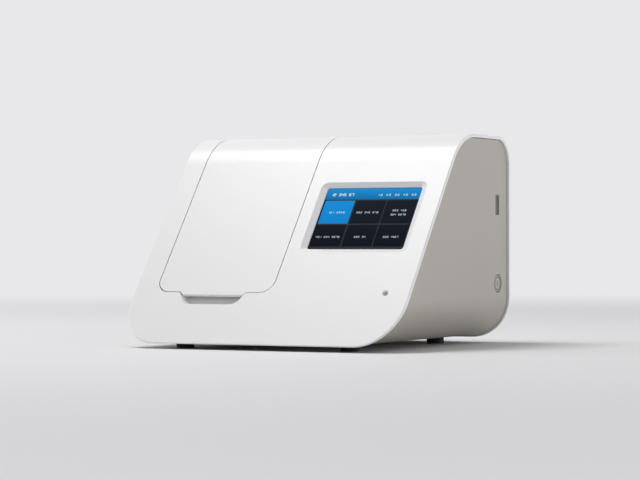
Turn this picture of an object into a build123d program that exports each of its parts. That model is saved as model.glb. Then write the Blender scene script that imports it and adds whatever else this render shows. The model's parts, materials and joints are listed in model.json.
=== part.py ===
from build123d import *
import os
from math import cos, radians, sin, tan

os.makedirs("parts", exist_ok=True)

# Benchtop molecular diagnostic analyzer, in millimetres
# +Z is up, +X is right, the slanted front faces -Y
# The origin is on the bench, under the middle of the instrument

# Outline of the housing
BODY_WIDTH = 207.0
BODY_DEPTH = 193.4
BODY_HEIGHT = 145.0
FLOOR_CLEARANCE = 3.6  # from the bench to the lowest edge of the hood
FRONT_SLANT = 52.3  # degrees between the front face and the bench
TOP_FRONT_RADIUS = 46.5
TOP_BACK_RADIUS = 20.0
CORNER_RADIUS = 28.5  # lower corners, seen from the front

# Shells
WRAP_WALL = 2.4
TUB_WALL = 2.5
PANEL_FLAT = 1.0  # the side panels reach this far onto the flat floor
PANEL_FIT = 0.1  # between the side panels and the tray
PANEL_LIP = 2.5
PANEL_LIP_HEIGHT = 1.5
SIDE_RECESS = 1.5  # the side walls lie this far inside the rim of the hood
SHELL_GAP = 0.35  # between the hood and what nests inside it
RIM_RADIUS = 0.6
OUTSIDE = 15.0  # how far cutting shapes reach past the surface

# Lid, placed by u across and v up the front face
LID_SIDE_MARGIN = 16.6  # from the housing's left side to the lid
SCREEN_SPACE = 13.5  # between the lid and the window of the screen
LID_BOTTOM = 42.9
LID_CORNER_RADIUS = 10.0
SEAM_GAP = 0.7
LID_OPEN_ANGLE = 125.0
TAB_DROP = 2.4
TAB_HALF_WIDTH = 25.4
TAB_END_SLANT = 2.0
LINER_SPACE = 2.6  # between the lid's skin and its inner panel
LINER_WALL = 1.5
LINER_MARGIN = 4.5
LINER_SCREW_ROWS = (56.0, 110.0)  # v of the screws that hold the inner panel
POST_OVERLAP = 0.6  # how far a screw post runs into the wall beside it
MAGNET_INSET = 20.4  # from the lid's right edge
MAGNET_V = 56.0
MAGNET_RADIUS = 4.0

# Finger scoop under the tab
SCOOP_BOTTOM = 32.9
SCOOP_TOP_HALF_WIDTH = 25.0
SCOOP_BOTTOM_HALF_WIDTH = 20.5
SCOOP_CORNER_RADIUS = 8.0
SCOOP_DEPTH = 5.0
SCOOP_TAPER = 32.0
SCOOP_WALL = 1.8
FLANGE_WALL = 1.8

# Hinge of the lid, a barrel that lies flush with the top
HINGE_INSET = 30.7  # from the back of the housing
BARREL_RADIUS = 3.5
BARREL_GAP = 0.35
SEAT_WALL = 2.0
CHEEK_WIDTH = 9.0
PIN_RADIUS = 1.25
PIN_RUNNING_FIT = 0.06
PIN_HELD_FIT = 0.01
PIN_IN_BARREL = 8.0
PIN_IN_CHEEK = 7.0

# Deck under the lid
DECK_WALL = 2.4
DECK_DEPTH = 9.5  # its apron lies this far behind the front face
DECK_Z = 62.0
DECK_BACK_INSET = 16.0  # from the hinge to the deck's back wall
DECK_LEDGE_DROP = 9.0  # from the top of the housing to the ledge in front of the hinge
LEG_SIZE = 8.0
LEG_POST_Z = 14.0
LEG_LEFT_INSET = 6.9  # from the lid's left edge
LEG_RIGHT_INSET = 7.4  # from the lid's right edge
LEG_FRONT_INSET = 63.7  # from the front of the housing
LEG_BACK_INSET = 8.0  # from the deck's back wall

# Holders in the deck
HOLDER_FLANGE = 2.2
HOLDER_WALL = 1.8
HOLDER_FIT = 0.3
HOLDER_FRONT_INSET = 69.7  # from the front of the housing
HOLDER_BACK_INSET = 15.0  # from the deck's back wall
HOLDER_GAP = 5.0
BASE_SIDE_SPACE = 3.9  # from the lid's left edge to the flange
BASE_SHARE = 36 / 77  # of the width that the two holders share
BASE_SIDE_RIM = 5.0
BASE_END_RIM = 8.0
BASE_POCKET_DEPTH = 15.0
BASE_TUBE_PITCH = 12.0
BASE_TUBE_RADIUS = 3.6
RECEIVER_SIDE_SPACE = 3.4  # from the lid's right edge to the flange
RECEIVER_SIDE_RIM = 5.5
RECEIVER_END_RIM = 10.0
RECEIVER_POCKET_DEPTH = 23.0
HOLDER_CORNER_RADIUS = 6.0
POCKET_CORNER_RADIUS = 5.0

# Heaters and optics
BASE_BLOCK_HEIGHT = 12.0
BASE_BLOCK_LENGTH = 24.0
RECEIVER_BLOCK_HEIGHT = 7.0
HEATER_FILM = 0.4
OPTICS_HEIGHT = 14.0
OPTICS_END_SPACE = 6.0  # from the optics housing to the edge of its board
LENS_THICKNESS = 2.0
LENS_RADIUS = 4.0
OPTICS_BOARD_SHIFT = 3.5  # the board reaches further to the right than to the left
OPTICS_BOARD_EXTRA = 6.0  # wider than the flange of the holder above it
OPTICS_BOARD_INSET = 14.5  # from the deck's legs, at each end
LIGHT_BORE_RADIUS = 2.2

# Screen, placed by u and v on the front face
WINDOW_SIDE_MARGIN = 16.5  # from the window to the housing's right side
SCREEN_RISE = 7.4099  # above the middle between the indicator and the curved top
WINDOW_WIDTH = 71.1
WINDOW_HEIGHT = 52.6
WINDOW_CORNER_RADIUS = 2.0
BEVEL_DEPTH = 2.0
BEVEL_SIDE = 4.1
BEVEL_BELOW = 4.1
BEVEL_ABOVE = 3.2
BEVEL_CORNER_RADIUS = 5.0
WINDOW_LIP = 0.7
GASKET_THICKNESS = 0.4
GLASS_THICKNESS = 1.2
MODULE_SIDE = 2.9  # the glass reaches this far past the window
MODULE_END = 5.65
MODULE_THICKNESS = 3.3
DISPLAY_BOARD_GAP = 2.0
DISPLAY_BOSS_RADIUS = 2.5
DISPLAY_BOSS_GAP = 2.4
DISPLAY_BOSS_RISE = 22.0
BRACKET_THICKNESS = 1.0
MODULE_MARGIN = 0.5  # the module is this much smaller than its glass all round
DISPLAY_BOARD_INSET = (5.45, 6.95)  # inside the outline of the display module

# Indicator beside the screen
INDICATOR_SIDE_MARGIN = 17.4  # from the housing's right side
INDICATOR_RISE = 0.6  # above the level of the lid's lower edge
INDICATOR_RADIUS = 1.5
INDICATOR_DISH_RADIUS = 2.3
INDICATOR_RECESS = 0.8
INDICATOR_LENGTH = 6.0
INDICATOR_POST_RADIUS = 1.8
INDICATOR_POST_SPREAD = 5.0
INDICATOR_BOARD_SIZE = (14.0, 8.0)
INDICATOR_BOARD_THICKNESS = 1.0
SENSOR_BOARD_SIZE = (14.0, 18.0)

# Right side: USB port and standby button
PORT_BACK_INSET = 19.8
PORT_TOP_INSET = 48.1
PORT_SLOT_WIDTH = 6.8
PORT_SLOT_HEIGHT = 14.1
USB_WIDTH = 13.1
USB_THICKNESS = 5.7
USB_LENGTH = 14.0
USB_SHELL = 0.3
USB_MOUTH = 1.2
USB_WALL = 1.0
BUTTON_BACK_INSET = 19.0
BUTTON_Z = 42.0
BUTTON_RADIUS = 6.2
BUTTON_GAP = 0.25
BUTTON_TRAVEL = 1.0
BUTTON_FLANGE = 1.2
BUTTON_LIP = 1.4
BUTTON_INSET = 0.2  # its face lies this far inside the wall's surface
BUTTON_EDGE_RADIUS = 0.4
BUTTON_STOP_GAP = 0.1
BUTTON_STEM_RADIUS = 2.2
SWITCH_SIZE = 6.2
SWITCH_HEIGHT = 4.0
PLUNGER_RADIUS = 1.6
PLUNGER_REACH = 1.6
PLUNGER_DEPTH = 0.8
IO_BOARD_DEPTH = 14.3  # from the side's surface to the face of the board
IO_BOARD_BACK_INSET = 4.7
IO_BOARD_LENGTH = 30.0
IO_BOARD_BOTTOM = 28.0
IO_BOARD_TOP_INSET = 33.0

# Electronics
BOARD_THICKNESS = 1.6
MAIN_BOARD_Z = 14.0
MAIN_BOARD_SIDE_INSET = 31.5  # from the housing's right side
MAIN_BOARD_WIDTH = 60.0
MAIN_BOARD_FRONT_INSET = 36.7
MIDDLE_HOLE_INSET = 66.7  # from the back of the board
REAR_HOLE_INSET = 36.0
BOARD_SCREW_GRIP = 5.0
# Chips, each as places from the left and the back of the board, then its size
CHIPS = [(32.0, 81.7, 17.0, 17.0, 1.6), (32.0, 105.7, 12.0, 10.0, 1.2), (50.0, 85.7, 9.0, 13.0, 1.2)]
BATTERY_INSET = (20.0, 45.7)
BATTERY_RADIUS = 10.0
BATTERY_THICKNESS = 3.2
BEEPER_INSET = (48.0, 47.7)
BEEPER_RADIUS = 6.0
BEEPER_HEIGHT = 5.5
BOARD_EDGE = 4.5  # from a board's edge to its screws
STANDOFF_RADIUS = 3.5
BIG_SCREW = (1.5, 2.75, 2.0)  # radius of the shank, radius and height of the head
SMALL_SCREW = (1.0, 1.9, 1.3)
SCREW_FIT = 0.05
CABLE_THICKNESS = 0.5
CABLE_BEND_RADIUS = 4.0
RIBBON_WIDTH = 14.0
PLUG_WIDTH = 5.0
PLUG_HEIGHT = 3.0
DISPLAY_CABLE_SHIFT = 9.45  # to the left of the window's middle
DISPLAY_CABLE_DROP = 21.1  # below the window's middle
DISPLAY_CABLE_RUN = 22.0
OPTICS_CABLE_Z = 29.5
SIDE_CABLE_INSET = 22.2  # from the back of the main board
SIDE_CABLE_Z = 34.0
SIDE_PLUG_Z = 50.0

# Rear sockets, each as a distance from the left edge of the main board
POWER_INSET = 8.0
POWER_WIDTH = 9.0
POWER_HEIGHT = 11.0
POWER_LENGTH = 14.0
POWER_MOUTH_RADIUS = 3.2
POWER_PIN_RADIUS = 1.0
NETWORK_INSET = 25.0
NETWORK_WIDTH = 16.0
NETWORK_HEIGHT = 13.4
NETWORK_LENGTH = 21.0
NETWORK_MOUTH = (11.8, 7.6, 12.0)
REAR_USB_INSET = 48.0
USB_STACK_BASE = 1.2
USB_STACK_PITCH = 7.6
SOCKET_FIT = 0.4

# Feet and the screws of the hood
FOOT_RADIUS = 6.0
FOOT_SIDE_INSET = 41.5
FOOT_FRONT_INSET = 22.7
FOOT_BACK_INSET = 36.7
FOOT_SEAT_DEPTH = 1.0
FOOT_EDGE_RADIUS = 0.8
COVER_SCREW_SIDE_INSET = 23.5
COVER_SCREW_FRONT_INSET = 20.7
COVER_SCREW_BACK_INSET = 10.7
COVER_BOSS_RADIUS = 4.5
COVER_BOSS_Z = 11.0
COVER_BOSS_HEIGHT = 16.0
COVER_SCREW_GRIP = 8.0
HEAD_RECESS = 0.6

# Derived places
SLANT = radians(FRONT_SLANT)
HALF_WIDTH = BODY_WIDTH / 2
HALF_DEPTH = BODY_DEPTH / 2
FRONT_FOOT_Y = -HALF_DEPTH - RIM_RADIUS * (1 / tan(SLANT / 2) - 1)  # sharp foot of the front face
SIDE_X = HALF_WIDTH - SIDE_RECESS
PANEL_SPLIT_X = HALF_WIDTH - CORNER_RADIUS - PANEL_FLAT
TUB_INNER_X = SIDE_X - TUB_WALL
TUB_BOTTOM = FLOOR_CLEARANCE + SIDE_RECESS
TUB_FLOOR = TUB_BOTTOM + TUB_WALL
HINGE_Y = HALF_DEPTH - HINGE_INSET
HINGE_Z = BODY_HEIGHT - BARREL_RADIUS
BARREL_SEAT = BARREL_RADIUS + BARREL_GAP
SEAT_RADIUS = BARREL_SEAT + SEAT_WALL
WINDOW_U = HALF_WIDTH - WINDOW_SIDE_MARGIN - WINDOW_WIDTH / 2
LID_LEFT = -HALF_WIDTH + LID_SIDE_MARGIN
LID_RIGHT = WINDOW_U - WINDOW_WIDTH / 2 - SCREEN_SPACE
LID_CENTRE = (LID_LEFT + LID_RIGHT) / 2
LID_WIDTH = LID_RIGHT - LID_LEFT
DECK_LEDGE_Z = BODY_HEIGHT - DECK_LEDGE_DROP
DECK_BACK_Y = HINGE_Y - DECK_BACK_INSET
MAGNET_U = LID_RIGHT - MAGNET_INSET
INDICATOR_U = HALF_WIDTH - INDICATOR_SIDE_MARGIN
INDICATOR_V = LID_BOTTOM + INDICATOR_RISE
CURVE_V = (BODY_HEIGHT - FLOOR_CLEARANCE) / sin(SLANT) - TOP_FRONT_RADIUS * tan(SLANT / 2)
WINDOW_V = (INDICATOR_V + CURVE_V) / 2 + SCREEN_RISE
MODULE_WIDTH = WINDOW_WIDTH + 2 * MODULE_SIDE
MODULE_HEIGHT = WINDOW_HEIGHT + 2 * MODULE_END
DISPLAY_BOARD_SIZE = (
    MODULE_WIDTH - 2 * DISPLAY_BOARD_INSET[0],
    MODULE_HEIGHT - 2 * DISPLAY_BOARD_INSET[1],
)
DISPLAY_CABLE_X = WINDOW_U - DISPLAY_CABLE_SHIFT
DISPLAY_CABLE_V = WINDOW_V - DISPLAY_CABLE_DROP
MAIN_BOARD_LEFT = HALF_WIDTH - MAIN_BOARD_SIDE_INSET - MAIN_BOARD_WIDTH
POWER_X = MAIN_BOARD_LEFT + POWER_INSET
NETWORK_X = MAIN_BOARD_LEFT + NETWORK_INSET
REAR_USB_X = MAIN_BOARD_LEFT + REAR_USB_INSET
PORT_Y = HALF_DEPTH - PORT_BACK_INSET
PORT_Z = BODY_HEIGHT - PORT_TOP_INSET
BUTTON_Y = HALF_DEPTH - BUTTON_BACK_INSET
OPENING_LEFT = LID_LEFT - SEAM_GAP / 2
OPENING_RIGHT = LID_RIGHT + SEAM_GAP / 2
FRONT_NORMAL = Axis((0, 0, 0), (0, -sin(SLANT), cos(SLANT)))
FRONT_PLANE = Plane(
    origin=(0, FRONT_FOOT_Y, FLOOR_CLEARANCE),
    x_dir=(1, 0, 0),
    z_dir=(0, -sin(SLANT), cos(SLANT)),
)


def front_y(z, inset=0.0):
    """Y of the slanted front at height z, moved in by inset."""
    return FRONT_FOOT_Y + (z - FLOOR_CLEARANCE) / tan(SLANT) + inset / sin(SLANT)


def front_point(v, depth=0.0):
    """Point (Y, Z) that lies v up the front face from its lower edge and depth behind it."""
    y = FRONT_FOOT_Y + v * cos(SLANT) + depth * sin(SLANT)
    z = FLOOR_CLEARANCE + v * sin(SLANT) - depth * cos(SLANT)
    return (y, z)


def side_outline(inset=0.0, floor=None):
    """Outline of the housing seen from the side, moved in by inset and open below at floor."""
    top = BODY_HEIGHT - inset
    bottom = FLOOR_CLEARANCE + inset if floor is None else floor
    with BuildSketch(Plane.YZ) as outline:
        with BuildLine():
            Polyline(
                (front_y(bottom, inset), bottom),
                (front_y(top, inset), top),
                (HALF_DEPTH - inset, top),
                (HALF_DEPTH - inset, bottom),
                close=True,
            )
        make_face()
        upper = outline.vertices().group_by(Axis.Y)[-1].sort_by(Axis.X)
        fillet(upper[0], TOP_FRONT_RADIUS - inset)
        back = outline.vertices().sort_by(Axis.Y)[-2:].sort_by(Axis.X)[-1]
        fillet(back, TOP_BACK_RADIUS - inset)
    return outline.sketch


def front_outline(inset=0.0):
    """Outline of the housing seen from the front, moved in by inset, with rounded lower corners."""
    bottom = FLOOR_CLEARANCE + inset
    height = BODY_HEIGHT + OUTSIDE - bottom
    with BuildSketch(Plane.XZ) as outline:
        with Locations((0, bottom + height / 2)):
            Rectangle(BODY_WIDTH - 2 * inset, height)
        fillet(outline.vertices().group_by(Axis.Y)[0], CORNER_RADIUS - inset)
    return outline.sketch


def lid_region(offset, rear=HINGE_Y):
    """Solid over the lid's part of the hood, its free edges drawn in by offset."""
    lower = LID_BOTTOM + offset
    above = BODY_HEIGHT + OUTSIDE
    with BuildPart() as region:
        with BuildSketch(Plane.YZ.offset(LID_LEFT + offset)):
            with BuildLine():
                Polyline(
                    front_point(lower, -OUTSIDE),
                    front_point(lower, OUTSIDE),
                    (rear, BODY_HEIGHT - OUTSIDE),
                    (rear, above),
                    (front_y(above, -OUTSIDE), above),
                    close=True,
                )
            make_face()
        extrude(amount=LID_WIDTH - 2 * offset)
        lower_edges = region.edges().filter_by(FRONT_NORMAL).group_by(Axis.Z)[0]
        fillet(lower_edges, LID_CORNER_RADIUS - offset)
    return region.part


def wall_band(outer, inner):
    """Band of wall between two insets of the side outline, as wide as the housing."""
    with BuildPart() as band:
        extrude(side_outline(outer, floor=0), amount=HALF_WIDTH, both=True)
        extrude(side_outline(inner, floor=0), amount=HALF_WIDTH, both=True, mode=Mode.SUBTRACT)
    return band.part


def scoop(wall, depth):
    """Tapered dish behind the front face, larger than the finger scoop by wall."""
    top = LID_BOTTOM + OUTSIDE
    with BuildPart() as dish:
        with BuildSketch(FRONT_PLANE) as outline:
            with BuildLine():
                Polyline(
                    (LID_CENTRE - SCOOP_TOP_HALF_WIDTH - wall, top),
                    (LID_CENTRE - SCOOP_TOP_HALF_WIDTH - wall, LID_BOTTOM),
                    (LID_CENTRE - SCOOP_BOTTOM_HALF_WIDTH - wall, SCOOP_BOTTOM - wall),
                    (LID_CENTRE + SCOOP_BOTTOM_HALF_WIDTH + wall, SCOOP_BOTTOM - wall),
                    (LID_CENTRE + SCOOP_TOP_HALF_WIDTH + wall, LID_BOTTOM),
                    (LID_CENTRE + SCOOP_TOP_HALF_WIDTH + wall, top),
                    close=True,
                )
            make_face()
            fillet(outline.vertices().group_by(Axis.Y)[0], SCOOP_CORNER_RADIUS + wall)
        extrude(amount=-depth, taper=SCOOP_TAPER)
    return dish.part


def tab_region(offset, depth):
    """Tab at the lid's lower edge, grown by offset on its free edges."""
    half = TAB_HALF_WIDTH + offset
    top = LID_BOTTOM + LID_CORNER_RADIUS
    bottom = LID_BOTTOM - TAB_DROP - offset
    with BuildPart() as tab:
        with BuildSketch(FRONT_PLANE):
            with BuildLine():
                Polyline(
                    (LID_CENTRE - half, top),
                    (LID_CENTRE - half, LID_BOTTOM),
                    (LID_CENTRE - half + TAB_END_SLANT, bottom),
                    (LID_CENTRE + half - TAB_END_SLANT, bottom),
                    (LID_CENTRE + half, LID_BOTTOM),
                    (LID_CENTRE + half, top),
                    close=True,
                )
            make_face()
        extrude(amount=-depth)
    return tab.part


def prism(left, right, points):
    """Prism along X from left to right, with its outline given by points (Y, Z)."""
    with BuildPart() as solid:
        with BuildSketch(Plane.YZ.offset(left)):
            with BuildLine():
                Polyline(*points, close=True)
            make_face()
        extrude(amount=right - left)
    return solid.part


def cylinder_x(left, right, y, z, radius):
    """Cylinder along X from left to right."""
    with BuildPart() as solid:
        with BuildSketch(Plane.YZ.offset(left)):
            with Locations((y, z)):
                Circle(radius)
        extrude(amount=right - left)
    return solid.part


def screws(plane, places, size, grip):
    """Pan-head screws that seat on the plane, with shanks of the given grip below it."""
    radius, head_radius, head_height = size
    with BuildPart() as group:
        with BuildSketch(plane):
            with Locations(*places):
                Circle(head_radius)
        extrude(amount=head_height)
        rims = group.faces().sort_by(Axis(plane.origin, plane.z_dir))[-len(places):].edges()
        fillet(rims, head_height * 0.4)
        with BuildSketch(plane):
            with Locations(*places):
                Circle(radius)
        extrude(amount=-grip)
        with BuildSketch(plane.offset(head_height)):
            with Locations(*places):
                Rectangle(radius * 2, radius * 0.5)
                Rectangle(radius * 0.5, radius * 2)
        extrude(amount=-head_height / 2, mode=Mode.SUBTRACT)
    return group.part


def drills(plane, places, radius, depth):
    """Round holes from the plane down to the depth, as one cutting shape."""
    with BuildPart() as cutters:
        with BuildSketch(plane):
            with Locations(*places):
                Circle(radius)
        extrude(amount=-depth)
    return cutters.part


def rounded_block(plane, centre, size, radius, height):
    """Block with rounded corners that stands on the plane, or hangs under it if height is negative."""
    with BuildPart() as block:
        with BuildSketch(plane):
            with Locations(centre):
                RectangleRounded(size[0], size[1], radius)
        extrude(amount=height)
    return block.part


def floor_posts(places, radius, top):
    """Round posts on the floor of the tub, trimmed to its rounded corners."""
    with BuildPart() as posts:
        with BuildSketch(Plane.XY.offset(TUB_BOTTOM)):
            with Locations(*places):
                Circle(radius)
        extrude(amount=top - TUB_BOTTOM)
        extrude(
            front_outline(SIDE_RECESS + TUB_WALL / 2),
            amount=HALF_DEPTH,
            both=True,
            mode=Mode.INTERSECT,
        )
    return posts.part


def ribbon(plane, points, width):
    """Flat cable of the given width, bent through points that lie in the plane."""
    with BuildPart() as cable:
        with BuildLine(plane) as route:
            FilletPolyline(*points, radius=CABLE_BEND_RADIUS)
        with BuildSketch(Plane(route.line @ 0, x_dir=plane.z_dir, z_dir=route.line % 0)):
            Rectangle(width, CABLE_THICKNESS)
        sweep()
    return cable.part


def usb_shell(plane, width, thickness, length):
    """Sheet-metal shell of a USB port whose mouth lies on the plane."""
    with BuildPart() as shell:
        with BuildSketch(plane):
            RectangleRounded(width, thickness, USB_SHELL * 2)
        extrude(amount=-length)
        with BuildSketch(plane):
            RectangleRounded(width - 2 * USB_SHELL, thickness - 2 * USB_SHELL, USB_SHELL)
        extrude(amount=-(length - 2 * USB_SHELL), mode=Mode.SUBTRACT)
    return shell.part


def usb_tongue(plane, width, thickness, length):
    """Contact carrier inside a USB port, its root seated on the back of the shell."""
    root = USB_SHELL * 2
    with BuildPart() as tongue:
        with BuildSketch(plane.offset(-(length - root))):
            Rectangle(width - 3 * root, thickness - 3 * USB_SHELL)
        extrude(amount=length * 0.15)
        with BuildSketch(plane.offset(-(length - root))):
            with Locations((0, thickness * 0.12)):
                Rectangle(width - 4 * root, thickness * 0.33)
        extrude(amount=length - root - USB_MOUTH)
    return tongue.part


def save(builder, name):
    """Label a finished piece and write it to its STEP file."""
    builder.part.label = name
    export_step(builder.part, f"parts/{name}.step")


# White hood over the front, the top and the back
gutter_angle = radians(90 - LID_OPEN_ANGLE)
gutter_low = (
    HINGE_Y + BARREL_SEAT * cos(gutter_angle),
    HINGE_Z + BARREL_SEAT * sin(gutter_angle),
)
gutter_top_y = gutter_low[0] - (BODY_HEIGHT - gutter_low[1]) * tan(gutter_angle)
gutter_far_y = gutter_low[0] - (BODY_HEIGHT + OUTSIDE - gutter_low[1]) * tan(gutter_angle)
window_back = BEVEL_DEPTH + WINDOW_LIP
glass_depth = window_back + GASKET_THICKNESS
module_depth = glass_depth + GLASS_THICKNESS
bracket_depth = module_depth + MODULE_THICKNESS
display_board_depth = bracket_depth + BRACKET_THICKNESS + DISPLAY_BOARD_GAP
display_bosses = [
    (WINDOW_U + side * (MODULE_WIDTH / 2 + DISPLAY_BOSS_GAP + DISPLAY_BOSS_RADIUS), WINDOW_V + rise)
    for side in (-1, 1)
    for rise in (-DISPLAY_BOSS_RISE, DISPLAY_BOSS_RISE)
]
board_top = MAIN_BOARD_Z + BOARD_THICKNESS
board_screw_length = BOARD_THICKNESS + BOARD_SCREW_GRIP - SHELL_GAP
power_z = board_top + POWER_HEIGHT / 2
network_z = board_top + NETWORK_HEIGHT / 2
rear_usb_z = board_top + USB_STACK_BASE + USB_THICKNESS / 2
indicator_board_depth = INDICATOR_RECESS + INDICATOR_LENGTH
indicator_posts = [
    (INDICATOR_U + side * INDICATOR_POST_SPREAD, INDICATOR_V) for side in (-1, 1)
]


def hinge_seat():
    """Trough under the lid's barrel, with a cheek beyond each end."""
    with BuildPart() as seat:
        with BuildSketch(Plane.YZ.offset(OPENING_LEFT - CHEEK_WIDTH)):
            with Locations((HINGE_Y, HINGE_Z)):
                Circle(SEAT_RADIUS)
            with Locations((HINGE_Y, HINGE_Z - SEAT_RADIUS)):
                Rectangle(
                    gutter_top_y + SEAT_WALL - HINGE_Y,
                    2 * SEAT_RADIUS,
                    align=(Align.MIN, Align.MIN),
                )
        extrude(amount=OPENING_RIGHT - OPENING_LEFT + 2 * CHEEK_WIDTH)
        extrude(side_outline(WRAP_WALL / 2), amount=HALF_WIDTH, both=True, mode=Mode.INTERSECT)
    return seat.part


def hinge_clearance():
    """Space that the lid's barrel and panel sweep through at the hinge."""
    above = BODY_HEIGHT + OUTSIDE
    with BuildPart() as space:
        add(cylinder_x(OPENING_LEFT, OPENING_RIGHT, HINGE_Y, HINGE_Z, BARREL_SEAT))
        add(
            prism(
                OPENING_LEFT,
                OPENING_RIGHT,
                [
                    (HINGE_Y - OUTSIDE, HINGE_Z),
                    (HINGE_Y, HINGE_Z),
                    gutter_low,
                    (gutter_far_y, above),
                    (HINGE_Y - OUTSIDE, above),
                ],
            )
        )
    return space.part


def cover_boss(x, y, toward_wall):
    """Screw boss of the hood, webbed to the wall that lies toward -Y or +Y."""
    with BuildPart() as boss:
        with BuildSketch(Plane.XY.offset(COVER_BOSS_Z)):
            with Locations((x, y)):
                Circle(COVER_BOSS_RADIUS)
            with Locations((x, y + toward_wall * OUTSIDE / 2)):
                Rectangle(COVER_BOSS_RADIUS * 1.2, OUTSIDE)
        extrude(amount=COVER_BOSS_HEIGHT)
        extrude(side_outline(WRAP_WALL / 2), amount=HALF_WIDTH, both=True, mode=Mode.INTERSECT)
    return boss.part


cover_screw_places = [
    (side * (HALF_WIDTH - COVER_SCREW_SIDE_INSET), y)
    for side in (-1, 1)
    for y in (COVER_SCREW_FRONT_INSET - HALF_DEPTH, HALF_DEPTH - COVER_SCREW_BACK_INSET)
]

with BuildPart() as wrap_cover:
    extrude(side_outline(), amount=HALF_WIDTH, both=True)
    extrude(front_outline(), amount=BODY_DEPTH, both=True, mode=Mode.INTERSECT)
    rims = wrap_cover.faces().filter_by(Axis.X).edges()
    upright = FLOOR_CLEARANCE + CORNER_RADIUS + RIM_RADIUS
    fillet(rims.filter_by(lambda edge: edge.center().Z > upright), RIM_RADIUS)
    extrude(side_outline(WRAP_WALL, floor=0), amount=HALF_WIDTH, both=True, mode=Mode.SUBTRACT)
    add(scoop(SCOOP_WALL, SCOOP_DEPTH + SCOOP_WALL))
    # Return flange under the lid's lower edge
    add(
        prism(
            OPENING_LEFT,
            OPENING_RIGHT,
            [
                front_point(LID_BOTTOM - FLANGE_WALL, WRAP_WALL / 2),
                front_point(LID_BOTTOM - FLANGE_WALL, DECK_DEPTH - SHELL_GAP),
                front_point(LID_BOTTOM, DECK_DEPTH - SHELL_GAP),
                front_point(LID_BOTTOM, WRAP_WALL / 2),
            ],
        )
    )
    add(lid_region(-SEAM_GAP / 2), mode=Mode.SUBTRACT)
    add(scoop(0, SCOOP_DEPTH), mode=Mode.SUBTRACT)
    add(tab_region(SEAM_GAP / 2, WRAP_WALL), mode=Mode.SUBTRACT)
    # Hinge seat with the bores that hold the pins
    add(hinge_seat())
    add(hinge_clearance(), mode=Mode.SUBTRACT)
    pin_bore = PIN_RADIUS + PIN_HELD_FIT
    add(
        cylinder_x(OPENING_LEFT - PIN_IN_CHEEK, OPENING_LEFT, HINGE_Y, HINGE_Z, pin_bore),
        mode=Mode.SUBTRACT,
    )
    add(
        cylinder_x(OPENING_RIGHT, OPENING_RIGHT + PIN_IN_CHEEK, HINGE_Y, HINGE_Z, pin_bore),
        mode=Mode.SUBTRACT,
    )
    # Pad and bevelled window of the screen
    add(
        rounded_block(
            FRONT_PLANE.offset(-WRAP_WALL / 2),
            (WINDOW_U, WINDOW_V),
            (MODULE_WIDTH + 2 * WINDOW_LIP, MODULE_HEIGHT + 2 * WINDOW_LIP),
            BEVEL_CORNER_RADIUS,
            WRAP_WALL / 2 - window_back,
        )
    )
    with BuildSketch(FRONT_PLANE):
        with Locations((WINDOW_U, WINDOW_V + (BEVEL_ABOVE - BEVEL_BELOW) / 2)):
            RectangleRounded(
                WINDOW_WIDTH + 2 * BEVEL_SIDE,
                WINDOW_HEIGHT + BEVEL_ABOVE + BEVEL_BELOW,
                BEVEL_CORNER_RADIUS,
            )
    with BuildSketch(FRONT_PLANE.offset(-BEVEL_DEPTH)):
        with Locations((WINDOW_U, WINDOW_V)):
            RectangleRounded(WINDOW_WIDTH, WINDOW_HEIGHT, WINDOW_CORNER_RADIUS)
    loft(ruled=True, mode=Mode.SUBTRACT)
    add(
        rounded_block(
            FRONT_PLANE,
            (WINDOW_U, WINDOW_V),
            (WINDOW_WIDTH, WINDOW_HEIGHT),
            WINDOW_CORNER_RADIUS,
            -window_back,
        ),
        mode=Mode.SUBTRACT,
    )
    # Bosses that carry the screen's bracket and the indicator's board
    add(
        drills(
            FRONT_PLANE.offset(-WRAP_WALL / 2),
            display_bosses,
            DISPLAY_BOSS_RADIUS,
            bracket_depth - WRAP_WALL / 2,
        )
    )
    add(
        drills(
            FRONT_PLANE.offset(-WRAP_WALL),
            display_bosses,
            SMALL_SCREW[0] + SCREW_FIT,
            bracket_depth - WRAP_WALL,
        ),
        mode=Mode.SUBTRACT,
    )
    add(
        drills(
            FRONT_PLANE.offset(-WRAP_WALL / 2),
            indicator_posts,
            INDICATOR_POST_RADIUS,
            indicator_board_depth - WRAP_WALL / 2,
        )
    )
    # Dished hole of the indicator
    with BuildSketch(FRONT_PLANE):
        with Locations((INDICATOR_U, INDICATOR_V)):
            Circle(INDICATOR_DISH_RADIUS)
    with BuildSketch(FRONT_PLANE.offset(-INDICATOR_RECESS)):
        with Locations((INDICATOR_U, INDICATOR_V)):
            Circle(INDICATOR_RADIUS + SCREW_FIT)
    loft(mode=Mode.SUBTRACT)
    add(
        drills(
            FRONT_PLANE,
            [(INDICATOR_U, INDICATOR_V)],
            INDICATOR_RADIUS + SCREW_FIT,
            WRAP_WALL,
        ),
        mode=Mode.SUBTRACT,
    )
    # Rear socket openings
    with BuildSketch(Plane.XZ.offset(-HALF_DEPTH)):
        with Locations((POWER_X, power_z)):
            Circle(POWER_MOUTH_RADIUS + SOCKET_FIT)
        with Locations((NETWORK_X, network_z)):
            Rectangle(NETWORK_WIDTH - SOCKET_FIT, NETWORK_HEIGHT - SOCKET_FIT)
        with Locations((REAR_USB_X, rear_usb_z), (REAR_USB_X, rear_usb_z + USB_STACK_PITCH)):
            Rectangle(USB_WIDTH + SOCKET_FIT, USB_THICKNESS + SOCKET_FIT)
    extrude(amount=WRAP_WALL, mode=Mode.SUBTRACT)
    # Screw bosses at the lower edges
    for x, y in cover_screw_places:
        add(cover_boss(x, y, 1 if y > 0 else -1))
    add(
        drills(
            Plane.XY.offset(COVER_BOSS_Z + COVER_SCREW_GRIP),
            cover_screw_places,
            BIG_SCREW[0] + SCREW_FIT,
            COVER_SCREW_GRIP,
        ),
        mode=Mode.SUBTRACT,
    )
save(wrap_cover, "wrap_cover")

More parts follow.
